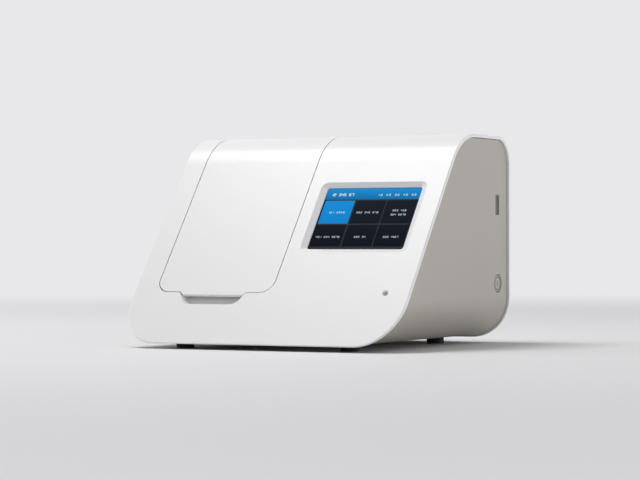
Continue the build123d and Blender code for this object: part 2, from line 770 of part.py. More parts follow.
# Lid: curved panel, finger tab and hinge barrel in one moulding
with BuildPart() as lid:
    add(wall_band(0, WRAP_WALL))
    add(lid_region(SEAM_GAP / 2), mode=Mode.INTERSECT)
    add(tab_region(-SEAM_GAP / 2, WRAP_WALL))
    barrel_left = LID_LEFT + SEAM_GAP / 2
    barrel_right = LID_RIGHT - SEAM_GAP / 2
    add(cylinder_x(barrel_left, barrel_right, HINGE_Y, HINGE_Z, BARREL_RADIUS))
    running_bore = PIN_RADIUS + PIN_RUNNING_FIT
    for end, inward in ((barrel_left, 1), (barrel_right, -1)):
        ends = sorted((end, end + inward * (PIN_IN_BARREL + SEAM_GAP)))
        add(cylinder_x(ends[0], ends[1], HINGE_Y, HINGE_Z, running_bore), mode=Mode.SUBTRACT)
save(lid, "lid")

# Inner panel of the lid, a tray whose rim stands on the panel
liner_rear = HINGE_Y - SEAT_RADIUS - SHELL_GAP - DECK_WALL - LINER_WALL
liner_back = WRAP_WALL + LINER_SPACE + LINER_WALL
liner_screw_inset = LINER_MARGIN + LINER_WALL + SMALL_SCREW[1] - POST_OVERLAP
liner_screws = [
    (u, v)
    for u in (LID_LEFT + liner_screw_inset, LID_RIGHT - liner_screw_inset)
    for v in LINER_SCREW_ROWS
]
with BuildPart() as lid_liner:
    add(wall_band(WRAP_WALL, liner_back))
    add(lid_region(LINER_MARGIN, liner_rear), mode=Mode.INTERSECT)
    hollow = lid_region(LINER_MARGIN + LINER_WALL, liner_rear - LINER_WALL)
    add(wall_band(WRAP_WALL, WRAP_WALL + LINER_SPACE) & hollow, mode=Mode.SUBTRACT)
    add(
        drills(FRONT_PLANE.offset(-WRAP_WALL), liner_screws, SMALL_SCREW[1], LINER_SPACE),
    )
    add(
        drills(FRONT_PLANE.offset(-WRAP_WALL), liner_screws, SMALL_SCREW[0] + SCREW_FIT, OUTSIDE),
        mode=Mode.SUBTRACT,
    )
save(lid_liner, "lid_liner")

# Screws of the inner panel, their heads on its underside
liner_underside = Plane(
    origin=FRONT_PLANE.offset(-liner_back).origin,
    x_dir=(1, 0, 0),
    z_dir=(0, sin(SLANT), -cos(SLANT)),
)
with BuildPart() as lid_screws:
    add(
        screws(
            liner_underside,
            [(u, -v) for u, v in liner_screws],
            SMALL_SCREW,
            liner_back - WRAP_WALL,
        )
    )
save(lid_screws, "lid_screws")

# Magnet of the lid, sunk in the liner
with BuildPart() as lid_magnet:
    add(
        drills(
            FRONT_PLANE.offset(-WRAP_WALL),
            [(MAGNET_U, MAGNET_V)],
            MAGNET_RADIUS,
            LINER_SPACE - SHELL_GAP,
        )
    )
save(lid_magnet, "lid_magnet")

# Pins of the lid's hinge
with BuildPart() as hinge_pins:
    add(
        cylinder_x(
            OPENING_LEFT - PIN_IN_CHEEK,
            LID_LEFT + SEAM_GAP / 2 + PIN_IN_BARREL,
            HINGE_Y,
            HINGE_Z,
            PIN_RADIUS,
        )
    )
    add(
        cylinder_x(
            LID_RIGHT - SEAM_GAP / 2 - PIN_IN_BARREL,
            OPENING_RIGHT + PIN_IN_CHEEK,
            HINGE_Y,
            HINGE_Z,
            PIN_RADIUS,
        )
    )
    fillet(hinge_pins.edges().filter_by(GeomType.CIRCLE), PIN_RADIUS * 0.3)
save(hinge_pins, "hinge_pins")

# Warm grey tub: both side walls and the floor, nested inside the hood
screw_seat_z = TUB_BOTTOM + BIG_SCREW[2] + HEAD_RECESS
leg_places = [
    (x, y)
    for x in (LID_LEFT + LEG_LEFT_INSET, LID_RIGHT - LEG_RIGHT_INSET)
    for y in (LEG_FRONT_INSET - HALF_DEPTH, DECK_BACK_Y - LEG_BACK_INSET)
]
foot_places = [
    (side * (HALF_WIDTH - FOOT_SIDE_INSET), y)
    for side in (-1, 1)
    for y in (FOOT_FRONT_INSET - HALF_DEPTH, HALF_DEPTH - FOOT_BACK_INSET)
]
main_board_back = HALF_DEPTH - WRAP_WALL - SHELL_GAP - BOARD_EDGE / 2
main_board_right = MAIN_BOARD_LEFT + MAIN_BOARD_WIDTH
main_board_front = MAIN_BOARD_FRONT_INSET - HALF_DEPTH
main_board_holes = [
    (x, y)
    for x in (MAIN_BOARD_LEFT + BOARD_EDGE, main_board_right - BOARD_EDGE)
    for y in (
        main_board_front + BOARD_EDGE,
        main_board_back - MIDDLE_HOLE_INSET,
        main_board_back - REAR_HOLE_INSET,
    )
]
side_cable_y = main_board_back - SIDE_CABLE_INSET
# The two holders share the width and the length of the deck
holder_front_y = HOLDER_FRONT_INSET - HALF_DEPTH
holder_back_y = DECK_BACK_Y - HOLDER_BACK_INSET
HOLDER_Y = (holder_front_y + holder_back_y) / 2
holder_length = holder_back_y - holder_front_y
holders_width = LID_WIDTH - BASE_SIDE_SPACE - HOLDER_GAP - RECEIVER_SIDE_SPACE
base_flange_width = holders_width * BASE_SHARE
receiver_flange_width = holders_width - base_flange_width
BASE_HOLDER_X = LID_LEFT + BASE_SIDE_SPACE + base_flange_width / 2
RECEIVER_X = LID_RIGHT - RECEIVER_SIDE_SPACE - receiver_flange_width / 2
BASE_POCKET_WIDTH = base_flange_width - 2 * BASE_SIDE_RIM
BASE_POCKET_LENGTH = holder_length - 2 * BASE_END_RIM
RECEIVER_POCKET_WIDTH = receiver_flange_width - 2 * RECEIVER_SIDE_RIM
RECEIVER_POCKET_LENGTH = holder_length - 2 * RECEIVER_END_RIM
holder_top = DECK_Z + HOLDER_FLANGE
base_cup_bottom = holder_top - BASE_POCKET_DEPTH - HOLDER_WALL
receiver_cup_bottom = holder_top - RECEIVER_POCKET_DEPTH - HOLDER_WALL
base_block_bottom = base_cup_bottom - BASE_BLOCK_HEIGHT
optics_bottom = base_block_bottom - OPTICS_HEIGHT
optics_board_bottom = optics_bottom - BOARD_THICKNESS
OPTICS_BOARD_X = BASE_HOLDER_X + OPTICS_BOARD_SHIFT
OPTICS_BOARD_SIZE = (
    base_flange_width + OPTICS_BOARD_EXTRA,
    leg_places[1][1] - leg_places[0][1] - 2 * OPTICS_BOARD_INSET,
)
optics_length = OPTICS_BOARD_SIZE[1] - 2 * OPTICS_END_SPACE
optics_board_holes = [
    (
        OPTICS_BOARD_X + dx * (OPTICS_BOARD_SIZE[0] / 2 - BOARD_EDGE),
        HOLDER_Y + dy * (OPTICS_BOARD_SIZE[1] / 2 - BOARD_EDGE / 2),
    )
    for dx in (-1, 1)
    for dy in (-1, 1)
]
io_board_x = SIDE_X - IO_BOARD_DEPTH
IO_BOARD_BACK = HALF_DEPTH - IO_BOARD_BACK_INSET
IO_BOARD_FRONT = IO_BOARD_BACK - IO_BOARD_LENGTH
IO_BOARD_TOP = BODY_HEIGHT - IO_BOARD_TOP_INSET
io_board_holes = [
    (y, z)
    for y in (IO_BOARD_FRONT + BOARD_EDGE, IO_BOARD_BACK - BOARD_EDGE)
    for z in (IO_BOARD_BOTTOM + BOARD_EDGE, IO_BOARD_TOP - BOARD_EDGE)
]


def tub_shell(left, right):
    """Side walls and floor in one U, cut down to what lies between left and right."""
    with BuildPart() as shell:
        extrude(side_outline(WRAP_WALL + SHELL_GAP, floor=0), amount=SIDE_X, both=True)
        extrude(front_outline(SIDE_RECESS), amount=HALF_DEPTH, both=True, mode=Mode.INTERSECT)
        extrude(
            front_outline(SIDE_RECESS + TUB_WALL),
            amount=HALF_DEPTH,
            both=True,
            mode=Mode.SUBTRACT,
        )
        add(slab_between(left, right), mode=Mode.INTERSECT)
    return shell.part


def slab_between(left, right):
    """Slab that takes in everything between left and right."""
    with BuildPart() as slab:
        with Locations(((left + right) / 2, 0, 0)):
            Box(right - left, 2 * BODY_DEPTH, 4 * BODY_HEIGHT)
    return slab.part


def post_screw_holes(places):
    """Counterbores and shank holes for the screws that rise through the posts."""
    with BuildPart() as holes:
        with BuildSketch(Plane.XY):
            with Locations(*places):
                Circle(BIG_SCREW[1] + SHELL_GAP)
        extrude(amount=screw_seat_z)
        with BuildSketch(Plane.XY):
            with Locations(*places):
                Circle(BIG_SCREW[0] + SCREW_FIT)
        extrude(amount=LEG_POST_Z)
    return holes.part


def panel_lip(side):
    """Lip of a side panel that rests on the edge of the tray."""
    edges = sorted((side * (PANEL_SPLIT_X - PANEL_LIP), side * (PANEL_SPLIT_X + PANEL_LIP)))
    with BuildPart() as lip:
        extrude(side_outline(WRAP_WALL + SHELL_GAP, floor=0), amount=SIDE_X, both=True)
        add(slab_between(*edges), mode=Mode.INTERSECT)
        with BuildSketch(Plane.XY.offset(TUB_FLOOR)):
            Rectangle(BODY_WIDTH, 2 * BODY_DEPTH)
        extrude(amount=PANEL_LIP_HEIGHT, mode=Mode.INTERSECT)
    return lip.part


def board_screw_bores(places, top):
    """Bores for the screws of a board that rests on posts of height top."""
    return drills(Plane.XY.offset(top), places, SMALL_SCREW[0] + SCREW_FIT, BOARD_SCREW_GRIP)


panel_far = HALF_WIDTH + OUTSIDE


def on_tray(places):
    """Those of the places that lie on the tray between the side panels."""
    return [place for place in places if abs(place[0]) < PANEL_SPLIT_X]


def on_left_panel(places):
    """Those of the places that lie on the left side panel."""
    return [place for place in places if place[0] < -PANEL_SPLIT_X]


def on_right_panel(places):
    """Those of the places that lie on the right side panel."""
    return [place for place in places if place[0] > PANEL_SPLIT_X]


# Tray with the floor, the feet's seats and the posts of the boards
with BuildPart() as base_tray:
    add(tub_shell(-PANEL_SPLIT_X + PANEL_FIT, PANEL_SPLIT_X - PANEL_FIT))
    add(floor_posts(on_tray(leg_places), LEG_SIZE / 2 + 1, LEG_POST_Z))
    add(floor_posts(main_board_holes, STANDOFF_RADIUS, MAIN_BOARD_Z))
    add(floor_posts(on_tray(optics_board_holes), STANDOFF_RADIUS, optics_board_bottom))
    add(board_screw_bores(main_board_holes, MAIN_BOARD_Z), mode=Mode.SUBTRACT)
    add(board_screw_bores(on_tray(optics_board_holes), optics_board_bottom), mode=Mode.SUBTRACT)
    with BuildSketch(Plane.XY):
        with Locations(*foot_places):
            Circle(FOOT_RADIUS + SHELL_GAP)
    extrude(amount=TUB_BOTTOM + FOOT_SEAT_DEPTH, mode=Mode.SUBTRACT)
    add(post_screw_holes(on_tray(leg_places)), mode=Mode.SUBTRACT)
save(base_tray, "base_tray")

# Left side panel, its lower edge curved in under the housing
with BuildPart() as left_side_panel:
    add(tub_shell(-panel_far, -PANEL_SPLIT_X))
    add(panel_lip(-1))
    add(floor_posts(on_left_panel(cover_screw_places), COVER_BOSS_RADIUS, COVER_BOSS_Z))
    add(floor_posts(on_left_panel(leg_places), LEG_SIZE / 2 + 1, LEG_POST_Z))
    add(floor_posts(on_left_panel(optics_board_holes), STANDOFF_RADIUS, optics_board_bottom))
    add(
        board_screw_bores(on_left_panel(optics_board_holes), optics_board_bottom),
        mode=Mode.SUBTRACT,
    )
    add(
        post_screw_holes(on_left_panel(cover_screw_places) + on_left_panel(leg_places)),
        mode=Mode.SUBTRACT,
    )
save(left_side_panel, "left_side_panel")

# Right side panel, with the posts of the side board, its port and the button
with BuildPart() as right_side_panel:
    add(tub_shell(PANEL_SPLIT_X, panel_far))
    add(panel_lip(1))
    add(floor_posts(on_right_panel(cover_screw_places), COVER_BOSS_RADIUS, COVER_BOSS_Z))
    add(post_screw_holes(on_right_panel(cover_screw_places)), mode=Mode.SUBTRACT)
    with BuildSketch(Plane.YZ.offset(io_board_x)):
        with Locations(*io_board_holes):
            Circle(STANDOFF_RADIUS)
    extrude(amount=TUB_INNER_X + TUB_WALL / 2 - io_board_x)
    with BuildSketch(Plane.YZ.offset(io_board_x)):
        with Locations(*io_board_holes):
            Circle(SMALL_SCREW[0] + SCREW_FIT)
    extrude(amount=BOARD_SCREW_GRIP, mode=Mode.SUBTRACT)
    with BuildSketch(Plane.YZ.offset(TUB_INNER_X)):
        with Locations((PORT_Y, PORT_Z)):
            RectangleRounded(PORT_SLOT_WIDTH, PORT_SLOT_HEIGHT, USB_SHELL * 2)
        with Locations((BUTTON_Y, BUTTON_Z)):
            Circle(BUTTON_RADIUS + BUTTON_GAP)
    extrude(amount=TUB_WALL, mode=Mode.SUBTRACT)
save(right_side_panel, "right_side_panel")

# Screws that hold the hood to the tub
with BuildPart() as cover_screws:
    add(
        screws(
            Plane(origin=(0, 0, screw_seat_z), x_dir=(1, 0, 0), z_dir=(0, 0, -1)),
            [(x, -y) for x, y in cover_screw_places],
            BIG_SCREW,
            COVER_BOSS_Z - screw_seat_z + COVER_SCREW_GRIP - SHELL_GAP,
        )
    )
save(cover_screws, "cover_screws")

with BuildPart() as deck_screws:
    add(
        screws(
            Plane(origin=(0, 0, screw_seat_z), x_dir=(1, 0, 0), z_dir=(0, 0, -1)),
            [(x, -y) for x, y in leg_places],
            BIG_SCREW,
            LEG_POST_Z - screw_seat_z + COVER_SCREW_GRIP - SHELL_GAP,
        )
    )
save(deck_screws, "deck_screws")

# Rubber feet
with BuildPart() as feet:
    with BuildSketch(Plane.XY):
        with Locations(*foot_places):
            Circle(FOOT_RADIUS)
    extrude(amount=TUB_BOTTOM + FOOT_SEAT_DEPTH)
    fillet(feet.edges().group_by(Axis.Z)[0], FOOT_EDGE_RADIUS)
save(feet, "feet")

# Moulded deck under the lid: apron, platform, back wall and side walls
above = BODY_HEIGHT + OUTSIDE
ledge_end_y = HINGE_Y - SEAT_RADIUS - SHELL_GAP - DECK_WALL
deck_space = [
    front_point(LID_BOTTOM, -OUTSIDE),
    front_point(LID_BOTTOM, DECK_DEPTH),
    (front_y(DECK_Z, DECK_DEPTH), DECK_Z),
    (DECK_BACK_Y, DECK_Z),
    (DECK_BACK_Y, DECK_LEDGE_Z),
    (ledge_end_y, DECK_LEDGE_Z),
    (ledge_end_y, above),
    (front_y(above, -OUTSIDE), above),
]
base_cup = (BASE_POCKET_WIDTH + 2 * HOLDER_WALL, BASE_POCKET_LENGTH + 2 * HOLDER_WALL)
receiver_cup = (RECEIVER_POCKET_WIDTH + 2 * HOLDER_WALL, RECEIVER_POCKET_LENGTH + 2 * HOLDER_WALL)
cup_radius = POCKET_CORNER_RADIUS + HOLDER_WALL
with BuildPart() as deck:
    with BuildSketch(Plane.YZ.offset(OPENING_LEFT - DECK_WALL)):
        with BuildLine():
            Polyline(*deck_space, close=True)
        make_face()
        offset(amount=DECK_WALL, kind=Kind.INTERSECTION)
    extrude(amount=OPENING_RIGHT - OPENING_LEFT + 2 * DECK_WALL)
    extrude(side_outline(WRAP_WALL + SHELL_GAP), amount=HALF_WIDTH, both=True, mode=Mode.INTERSECT)
    add(prism(OPENING_LEFT, OPENING_RIGHT, deck_space), mode=Mode.SUBTRACT)
    # The apron passes behind the hood's return flange
    add(
        prism(
            OPENING_LEFT - OUTSIDE,
            OPENING_RIGHT + OUTSIDE,
            [
                front_point(LID_BOTTOM - OUTSIDE, -OUTSIDE),
                front_point(LID_BOTTOM - OUTSIDE, DECK_DEPTH),
                front_point(LID_BOTTOM + SHELL_GAP, DECK_DEPTH),
                front_point(LID_BOTTOM + SHELL_GAP, -OUTSIDE),
            ],
        ),
        mode=Mode.SUBTRACT,
    )
    for x, y in leg_places:
        with BuildSketch(Plane.XY.offset(LEG_POST_Z)):
            with Locations((x, y)):
                RectangleRounded(LEG_SIZE, LEG_SIZE, LEG_SIZE / 4)
        extrude(amount=DECK_Z - DECK_WALL / 2 - LEG_POST_Z)
    add(
        drills(
            Plane.XY.offset(LEG_POST_Z + COVER_SCREW_GRIP),
            leg_places,
            BIG_SCREW[0] + SCREW_FIT,
            COVER_SCREW_GRIP,
        ),
        mode=Mode.SUBTRACT,
    )
    for x, cup in ((BASE_HOLDER_X, base_cup), (RECEIVER_X, receiver_cup)):
        well = (cup[0] + 2 * HOLDER_FIT, cup[1] + 2 * HOLDER_FIT)
        add(
            rounded_block(
                Plane.XY.offset(DECK_Z),
                (x, HOLDER_Y),
                well,
                cup_radius + HOLDER_FIT,
                -DECK_WALL,
            ),
            mode=Mode.SUBTRACT,
        )
save(deck, "deck")


def holder(x, flange, cup, pocket, pocket_depth):
    """Holder that drops into the deck: a flange on the platform and a cup below it."""
    place = (x, HOLDER_Y)
    with BuildPart() as part:
        add(rounded_block(Plane.XY.offset(DECK_Z), place, flange, HOLDER_CORNER_RADIUS, HOLDER_FLANGE))
        chamfer(part.edges().group_by(Axis.Z)[-1], HOLDER_FLANGE * 0.4)
        cup_depth = pocket_depth + HOLDER_WALL - HOLDER_FLANGE
        add(rounded_block(Plane.XY.offset(DECK_Z), place, cup, cup_radius, -cup_depth))
        add(
            rounded_block(Plane.XY.offset(holder_top), place, pocket, POCKET_CORNER_RADIUS, -pocket_depth),
            mode=Mode.SUBTRACT,
        )
    return part.part


base_tubes = [(BASE_HOLDER_X + side * BASE_TUBE_PITCH / 2, HOLDER_Y) for side in (-1, 1)]
with BuildPart() as test_base_holder:
    add(
        holder(
            BASE_HOLDER_X,
            (base_flange_width, holder_length),
            base_cup,
            (BASE_POCKET_WIDTH, BASE_POCKET_LENGTH),
            BASE_POCKET_DEPTH,
        )
    )
    add(
        drills(
            Plane.XY.offset(holder_top),
            base_tubes,
            BASE_TUBE_RADIUS + HOLDER_FIT,
            OUTSIDE + BASE_POCKET_DEPTH,
        ),
        mode=Mode.SUBTRACT,
    )
save(test_base_holder, "test_base_holder")

with BuildPart() as receiver_holder:
    add(
        holder(
            RECEIVER_X,
            (receiver_flange_width, holder_length),
            receiver_cup,
            (RECEIVER_POCKET_WIDTH, RECEIVER_POCKET_LENGTH),
            RECEIVER_POCKET_DEPTH,
        )
    )
save(receiver_holder, "receiver_holder")

# Heater blocks and their film heaters
with BuildPart() as base_heater_block:
    add(
        rounded_block(
            Plane.XY.offset(base_cup_bottom),
            (BASE_HOLDER_X, HOLDER_Y),
            (BASE_POCKET_WIDTH, BASE_BLOCK_LENGTH),
            1.0,
            -BASE_BLOCK_HEIGHT,
        )
    )
    add(
        drills(Plane.XY.offset(base_cup_bottom), base_tubes, BASE_TUBE_RADIUS, BASE_BLOCK_HEIGHT * 0.75),
        mode=Mode.SUBTRACT,
    )
    add(
        drills(Plane.XY.offset(base_cup_bottom), base_tubes, LIGHT_BORE_RADIUS, BASE_BLOCK_HEIGHT),
        mode=Mode.SUBTRACT,
    )
save(base_heater_block, "base_heater_block")

base_block_front = HOLDER_Y - BASE_BLOCK_LENGTH / 2
with BuildPart() as base_heater_pad:
    with BuildSketch(Plane.XZ.offset(-base_block_front)):
        with Locations((BASE_HOLDER_X, base_cup_bottom - BASE_BLOCK_HEIGHT / 2)):
            Rectangle(BASE_POCKET_WIDTH * 0.85, BASE_BLOCK_HEIGHT * 0.85)
    extrude(amount=HEATER_FILM)
save(base_heater_pad, "base_heater_pad")

with BuildPart() as receiver_heater_block:
    add(
        rounded_block(
            Plane.XY.offset(receiver_cup_bottom),
            (RECEIVER_X, HOLDER_Y),
            (RECEIVER_POCKET_WIDTH, RECEIVER_POCKET_LENGTH),
            POCKET_CORNER_RADIUS,
            -RECEIVER_BLOCK_HEIGHT,
        )
    )
save(receiver_heater_block, "receiver_heater_block")

receiver_block_bottom = receiver_cup_bottom - RECEIVER_BLOCK_HEIGHT
with BuildPart() as receiver_heater_pad:
    with BuildSketch(Plane.XY.offset(receiver_block_bottom)):
        with Locations((RECEIVER_X, HOLDER_Y)):
            Rectangle(RECEIVER_POCKET_WIDTH * 0.8, RECEIVER_POCKET_LENGTH * 0.85)
    extrude(amount=-HEATER_FILM)
save(receiver_heater_pad, "receiver_heater_pad")

# Optics under the test base: housing with two light bores, lenses and board
with BuildPart() as optics_housing:
    with BuildSketch(Plane.XY.offset(base_block_bottom)):
        with Locations((BASE_HOLDER_X, HOLDER_Y)):
            Rectangle(BASE_POCKET_WIDTH, optics_length)
    extrude(amount=-OPTICS_HEIGHT)
    fillet(optics_housing.edges().filter_by(Axis.Z), 2.0)
    add(
        drills(Plane.XY.offset(base_block_bottom), base_tubes, LENS_RADIUS + SCREW_FIT, LENS_THICKNESS),
        mode=Mode.SUBTRACT,
    )
    add(
        drills(Plane.XY.offset(base_block_bottom), base_tubes, LIGHT_BORE_RADIUS, OPTICS_HEIGHT),
        mode=Mode.SUBTRACT,
    )
save(optics_housing, "optics_housing")

with BuildPart() as optics_lenses:
    add(drills(Plane.XY.offset(base_block_bottom), base_tubes, LENS_RADIUS, LENS_THICKNESS))
    chamfer(optics_lenses.edges().group_by(Axis.Z)[0], LENS_THICKNESS * 0.2)
save(optics_lenses, "optics_lenses")


def board(plane, centre, size, holes, thickness=BOARD_THICKNESS):
    """Circuit board with rounded corners and screw holes, its top on the plane."""
    with BuildPart() as part:
        add(rounded_block(plane, centre, size, BOARD_THICKNESS, -thickness))
        if holes:
            add(drills(plane, holes, SMALL_SCREW[0] + SCREW_FIT * 3, thickness), mode=Mode.SUBTRACT)
    return part.part


with BuildPart() as optics_board:
    add(
        board(
            Plane.XY.offset(optics_bottom),
            (OPTICS_BOARD_X, HOLDER_Y),
            OPTICS_BOARD_SIZE,
            optics_board_holes,
        )
    )
save(optics_board, "optics_board")

with BuildPart() as optics_screws:
    add(screws(Plane.XY.offset(optics_bottom), optics_board_holes, SMALL_SCREW, board_screw_length))
save(optics_screws, "optics_screws")

# Main board on the floor, with its clock battery, beeper and rear sockets
main_board_centre = (
    MAIN_BOARD_LEFT + MAIN_BOARD_WIDTH / 2,
    (main_board_front + main_board_back) / 2,
)
main_board_size = (MAIN_BOARD_WIDTH, main_board_back - main_board_front)
with BuildPart() as main_board:
    add(board(Plane.XY.offset(board_top), main_board_centre, main_board_size, main_board_holes))
save(main_board, "main_board")

with BuildPart() as main_board_screws:
    add(screws(Plane.XY.offset(board_top), main_board_holes, SMALL_SCREW, board_screw_length))
save(main_board_screws, "main_board_screws")

battery_place = (MAIN_BOARD_LEFT + BATTERY_INSET[0], main_board_back - BATTERY_INSET[1])
beeper_place = (MAIN_BOARD_LEFT + BEEPER_INSET[0], main_board_back - BEEPER_INSET[1])
with BuildPart() as board_chips:
    for from_left, from_back, width, length, height in CHIPS:
        with BuildSketch(Plane.XY.offset(board_top)):
            with Locations((MAIN_BOARD_LEFT + from_left, main_board_back - from_back)):
                Rectangle(width, length)
        extrude(amount=height)
save(board_chips, "board_chips")

with BuildPart() as battery_holder:
    with BuildSketch(Plane.XY.offset(board_top)):
        with Locations(battery_place):
            Circle(BATTERY_RADIUS + HOLDER_WALL)
    extrude(amount=BATTERY_THICKNESS)
    with BuildSketch(Plane.XY.offset(board_top + BATTERY_THICKNESS / 2)):
        with Locations(battery_place):
            Circle(BATTERY_RADIUS + SCREW_FIT)
    extrude(amount=BATTERY_THICKNESS, mode=Mode.SUBTRACT)
save(battery_holder, "battery_holder")

with BuildPart() as clock_battery:
    with BuildSketch(Plane.XY.offset(board_top + BATTERY_THICKNESS / 2)):
        with Locations(battery_place):
            Circle(BATTERY_RADIUS)
    extrude(amount=BATTERY_THICKNESS)
    fillet(clock_battery.edges().group_by(Axis.Z)[-1], BATTERY_THICKNESS * 0.15)
save(clock_battery, "clock_battery")

with BuildPart() as beeper:
    with BuildSketch(Plane.XY.offset(board_top)):
        with Locations(beeper_place):
            Circle(BEEPER_RADIUS)
    extrude(amount=BEEPER_HEIGHT)
    fillet(beeper.edges().group_by(Axis.Z)[-1], BEEPER_HEIGHT * 0.1)
    with BuildSketch(Plane.XY.offset(board_top + BEEPER_HEIGHT)):
        with Locations(beeper_place):
            Circle(BEEPER_RADIUS * 0.2)
    extrude(amount=-BEEPER_HEIGHT * 0.4, mode=Mode.SUBTRACT)
save(beeper, "beeper")

socket_face_y = HALF_DEPTH - WRAP_WALL - SHELL_GAP
SOCKET_PLANE = Plane(origin=(0, socket_face_y, 0), x_dir=(-1, 0, 0), z_dir=(0, 1, 0))
with BuildPart() as power_inlet:
    with BuildSketch(SOCKET_PLANE):
        with Locations((-POWER_X, power_z)):
            Rectangle(POWER_WIDTH, POWER_HEIGHT)
    extrude(amount=-POWER_LENGTH)
    with BuildSketch(SOCKET_PLANE):
        with Locations((-POWER_X, power_z)):
            Circle(POWER_MOUTH_RADIUS)
            Circle(POWER_PIN_RADIUS, mode=Mode.SUBTRACT)
    extrude(amount=-POWER_LENGTH * 0.7, mode=Mode.SUBTRACT)
save(power_inlet, "power_inlet")

with BuildPart() as network_jack:
    with BuildSketch(SOCKET_PLANE):
        with Locations((-NETWORK_X, network_z)):
            Rectangle(NETWORK_WIDTH, NETWORK_HEIGHT)
    extrude(amount=-NETWORK_LENGTH)
    mouth_width, mouth_height, mouth_depth = NETWORK_MOUTH
    with BuildSketch(SOCKET_PLANE):
        with Locations((-NETWORK_X, network_z)):
            Rectangle(mouth_width, mouth_height)
        with Locations((-NETWORK_X, network_z - mouth_height / 2)):
            Rectangle(mouth_width * 0.5, mouth_height * 0.4)
    extrude(amount=-mouth_depth, mode=Mode.SUBTRACT)
save(network_jack, "network_jack")

rear_usb_planes = [
    Plane(
        origin=(REAR_USB_X, socket_face_y, rear_usb_z + level * USB_STACK_PITCH),
        x_dir=(-1, 0, 0),
        z_dir=(0, 1, 0),
    )
    for level in (0, 1)
]
with BuildPart() as rear_usb_ports:
    for plane in rear_usb_planes:
        add(usb_shell(plane, USB_WIDTH, USB_THICKNESS, USB_LENGTH))
    stack_back = socket_face_y - USB_LENGTH
    stack_height = rear_usb_z + USB_STACK_PITCH - board_top
    with BuildSketch(Plane.XY.offset(board_top)):
        with Locations((REAR_USB_X, stack_back - USB_WALL / 2)):
            Rectangle(USB_WIDTH, USB_WALL)
    extrude(amount=stack_height)
save(rear_usb_ports, "rear_usb_ports")

# Side board with the USB port and the standby switch
side_port_plane = Plane(origin=(io_board_x + USB_LENGTH, PORT_Y, PORT_Z), x_dir=(0, 0, 1), z_dir=(1, 0, 0))
with BuildPart() as side_usb_port:
    add(usb_shell(side_port_plane, USB_WIDTH, USB_THICKNESS, USB_LENGTH))
save(side_usb_port, "side_usb_port")

with BuildPart() as usb_tongues:
    for plane in (side_port_plane, *rear_usb_planes):
        add(usb_tongue(plane, USB_WIDTH, USB_THICKNESS, USB_LENGTH))
save(usb_tongues, "usb_tongues")

with BuildPart() as side_io_board:
    add(
        board(
            Plane.YZ.offset(io_board_x),
            ((IO_BOARD_FRONT + IO_BOARD_BACK) / 2, (IO_BOARD_BOTTOM + IO_BOARD_TOP) / 2),
            (IO_BOARD_BACK - IO_BOARD_FRONT, IO_BOARD_TOP - IO_BOARD_BOTTOM),
            io_board_holes,
        )
    )
save(side_io_board, "side_io_board")

with BuildPart() as side_io_screws:
    add(
        screws(
            Plane(origin=(io_board_x - BOARD_THICKNESS, 0, 0), x_dir=(0, -1, 0), z_dir=(-1, 0, 0)),
            [(-y, z) for y, z in io_board_holes],
            SMALL_SCREW,
            BOARD_THICKNESS + BOARD_SCREW_GRIP - SHELL_GAP,
        )
    )
save(side_io_screws, "side_io_screws")

switch_face_x = io_board_x + SWITCH_HEIGHT
button_back_x = TUB_INNER_X - BUTTON_STOP_GAP - BUTTON_FLANGE
plunger_face_x = switch_face_x + PLUNGER_REACH
button_place = (BUTTON_Y, BUTTON_Z)
with BuildPart() as standby_switch:
    with BuildSketch(Plane.YZ.offset(io_board_x)):
        with Locations(button_place):
            RectangleRounded(SWITCH_SIZE, SWITCH_SIZE, 0.8)
    extrude(amount=SWITCH_HEIGHT)
    add(
        cylinder_x(
            switch_face_x - PLUNGER_DEPTH - BUTTON_TRAVEL - BUTTON_GAP,
            switch_face_x,
            BUTTON_Y,
            BUTTON_Z,
            PLUNGER_RADIUS + BUTTON_GAP,
        ),
        mode=Mode.SUBTRACT,
    )
save(standby_switch, "standby_switch")

with BuildPart() as switch_plunger:
    add(cylinder_x(switch_face_x - PLUNGER_DEPTH, plunger_face_x, BUTTON_Y, BUTTON_Z, PLUNGER_RADIUS))
save(switch_plunger, "switch_plunger")

with BuildPart() as standby_button:
    add(cylinder_x(plunger_face_x, button_back_x + BUTTON_FLANGE, BUTTON_Y, BUTTON_Z, BUTTON_STEM_RADIUS))
    add(
        cylinder_x(
            button_back_x,
            button_back_x + BUTTON_FLANGE,
            BUTTON_Y,
            BUTTON_Z,
            BUTTON_RADIUS + BUTTON_LIP,
        )
    )
    add(cylinder_x(button_back_x, SIDE_X - BUTTON_INSET, BUTTON_Y, BUTTON_Z, BUTTON_RADIUS))
    fillet(standby_button.edges().group_by(Axis.X)[-1], BUTTON_EDGE_RADIUS)
save(standby_button, "standby_button")

# Touch screen, stacked behind the bevelled window
def module_slab(depth, thickness, margin=0.0):
    """Slab of the screen's outline at a depth behind the front face."""
    return rounded_block(
        FRONT_PLANE.offset(-depth),
        (WINDOW_U, WINDOW_V),
        (MODULE_WIDTH - 2 * margin, MODULE_HEIGHT - 2 * margin),
        WINDOW_CORNER_RADIUS,
        -thickness,
    )


with BuildPart() as display_gasket:
    add(module_slab(window_back, GASKET_THICKNESS))
    add(
        rounded_block(
            FRONT_PLANE.offset(-window_back),
            (WINDOW_U, WINDOW_V),
            (WINDOW_WIDTH, WINDOW_HEIGHT),
            WINDOW_CORNER_RADIUS,
            -GASKET_THICKNESS,
        ),
        mode=Mode.SUBTRACT,
    )
save(display_gasket, "display_gasket")

with BuildPart() as touch_glass:
    add(module_slab(glass_depth, GLASS_THICKNESS))
save(touch_glass, "touch_glass")

with BuildPart() as lcd_module:
    add(module_slab(module_depth, MODULE_THICKNESS, MODULE_MARGIN))
save(lcd_module, "lcd_module")

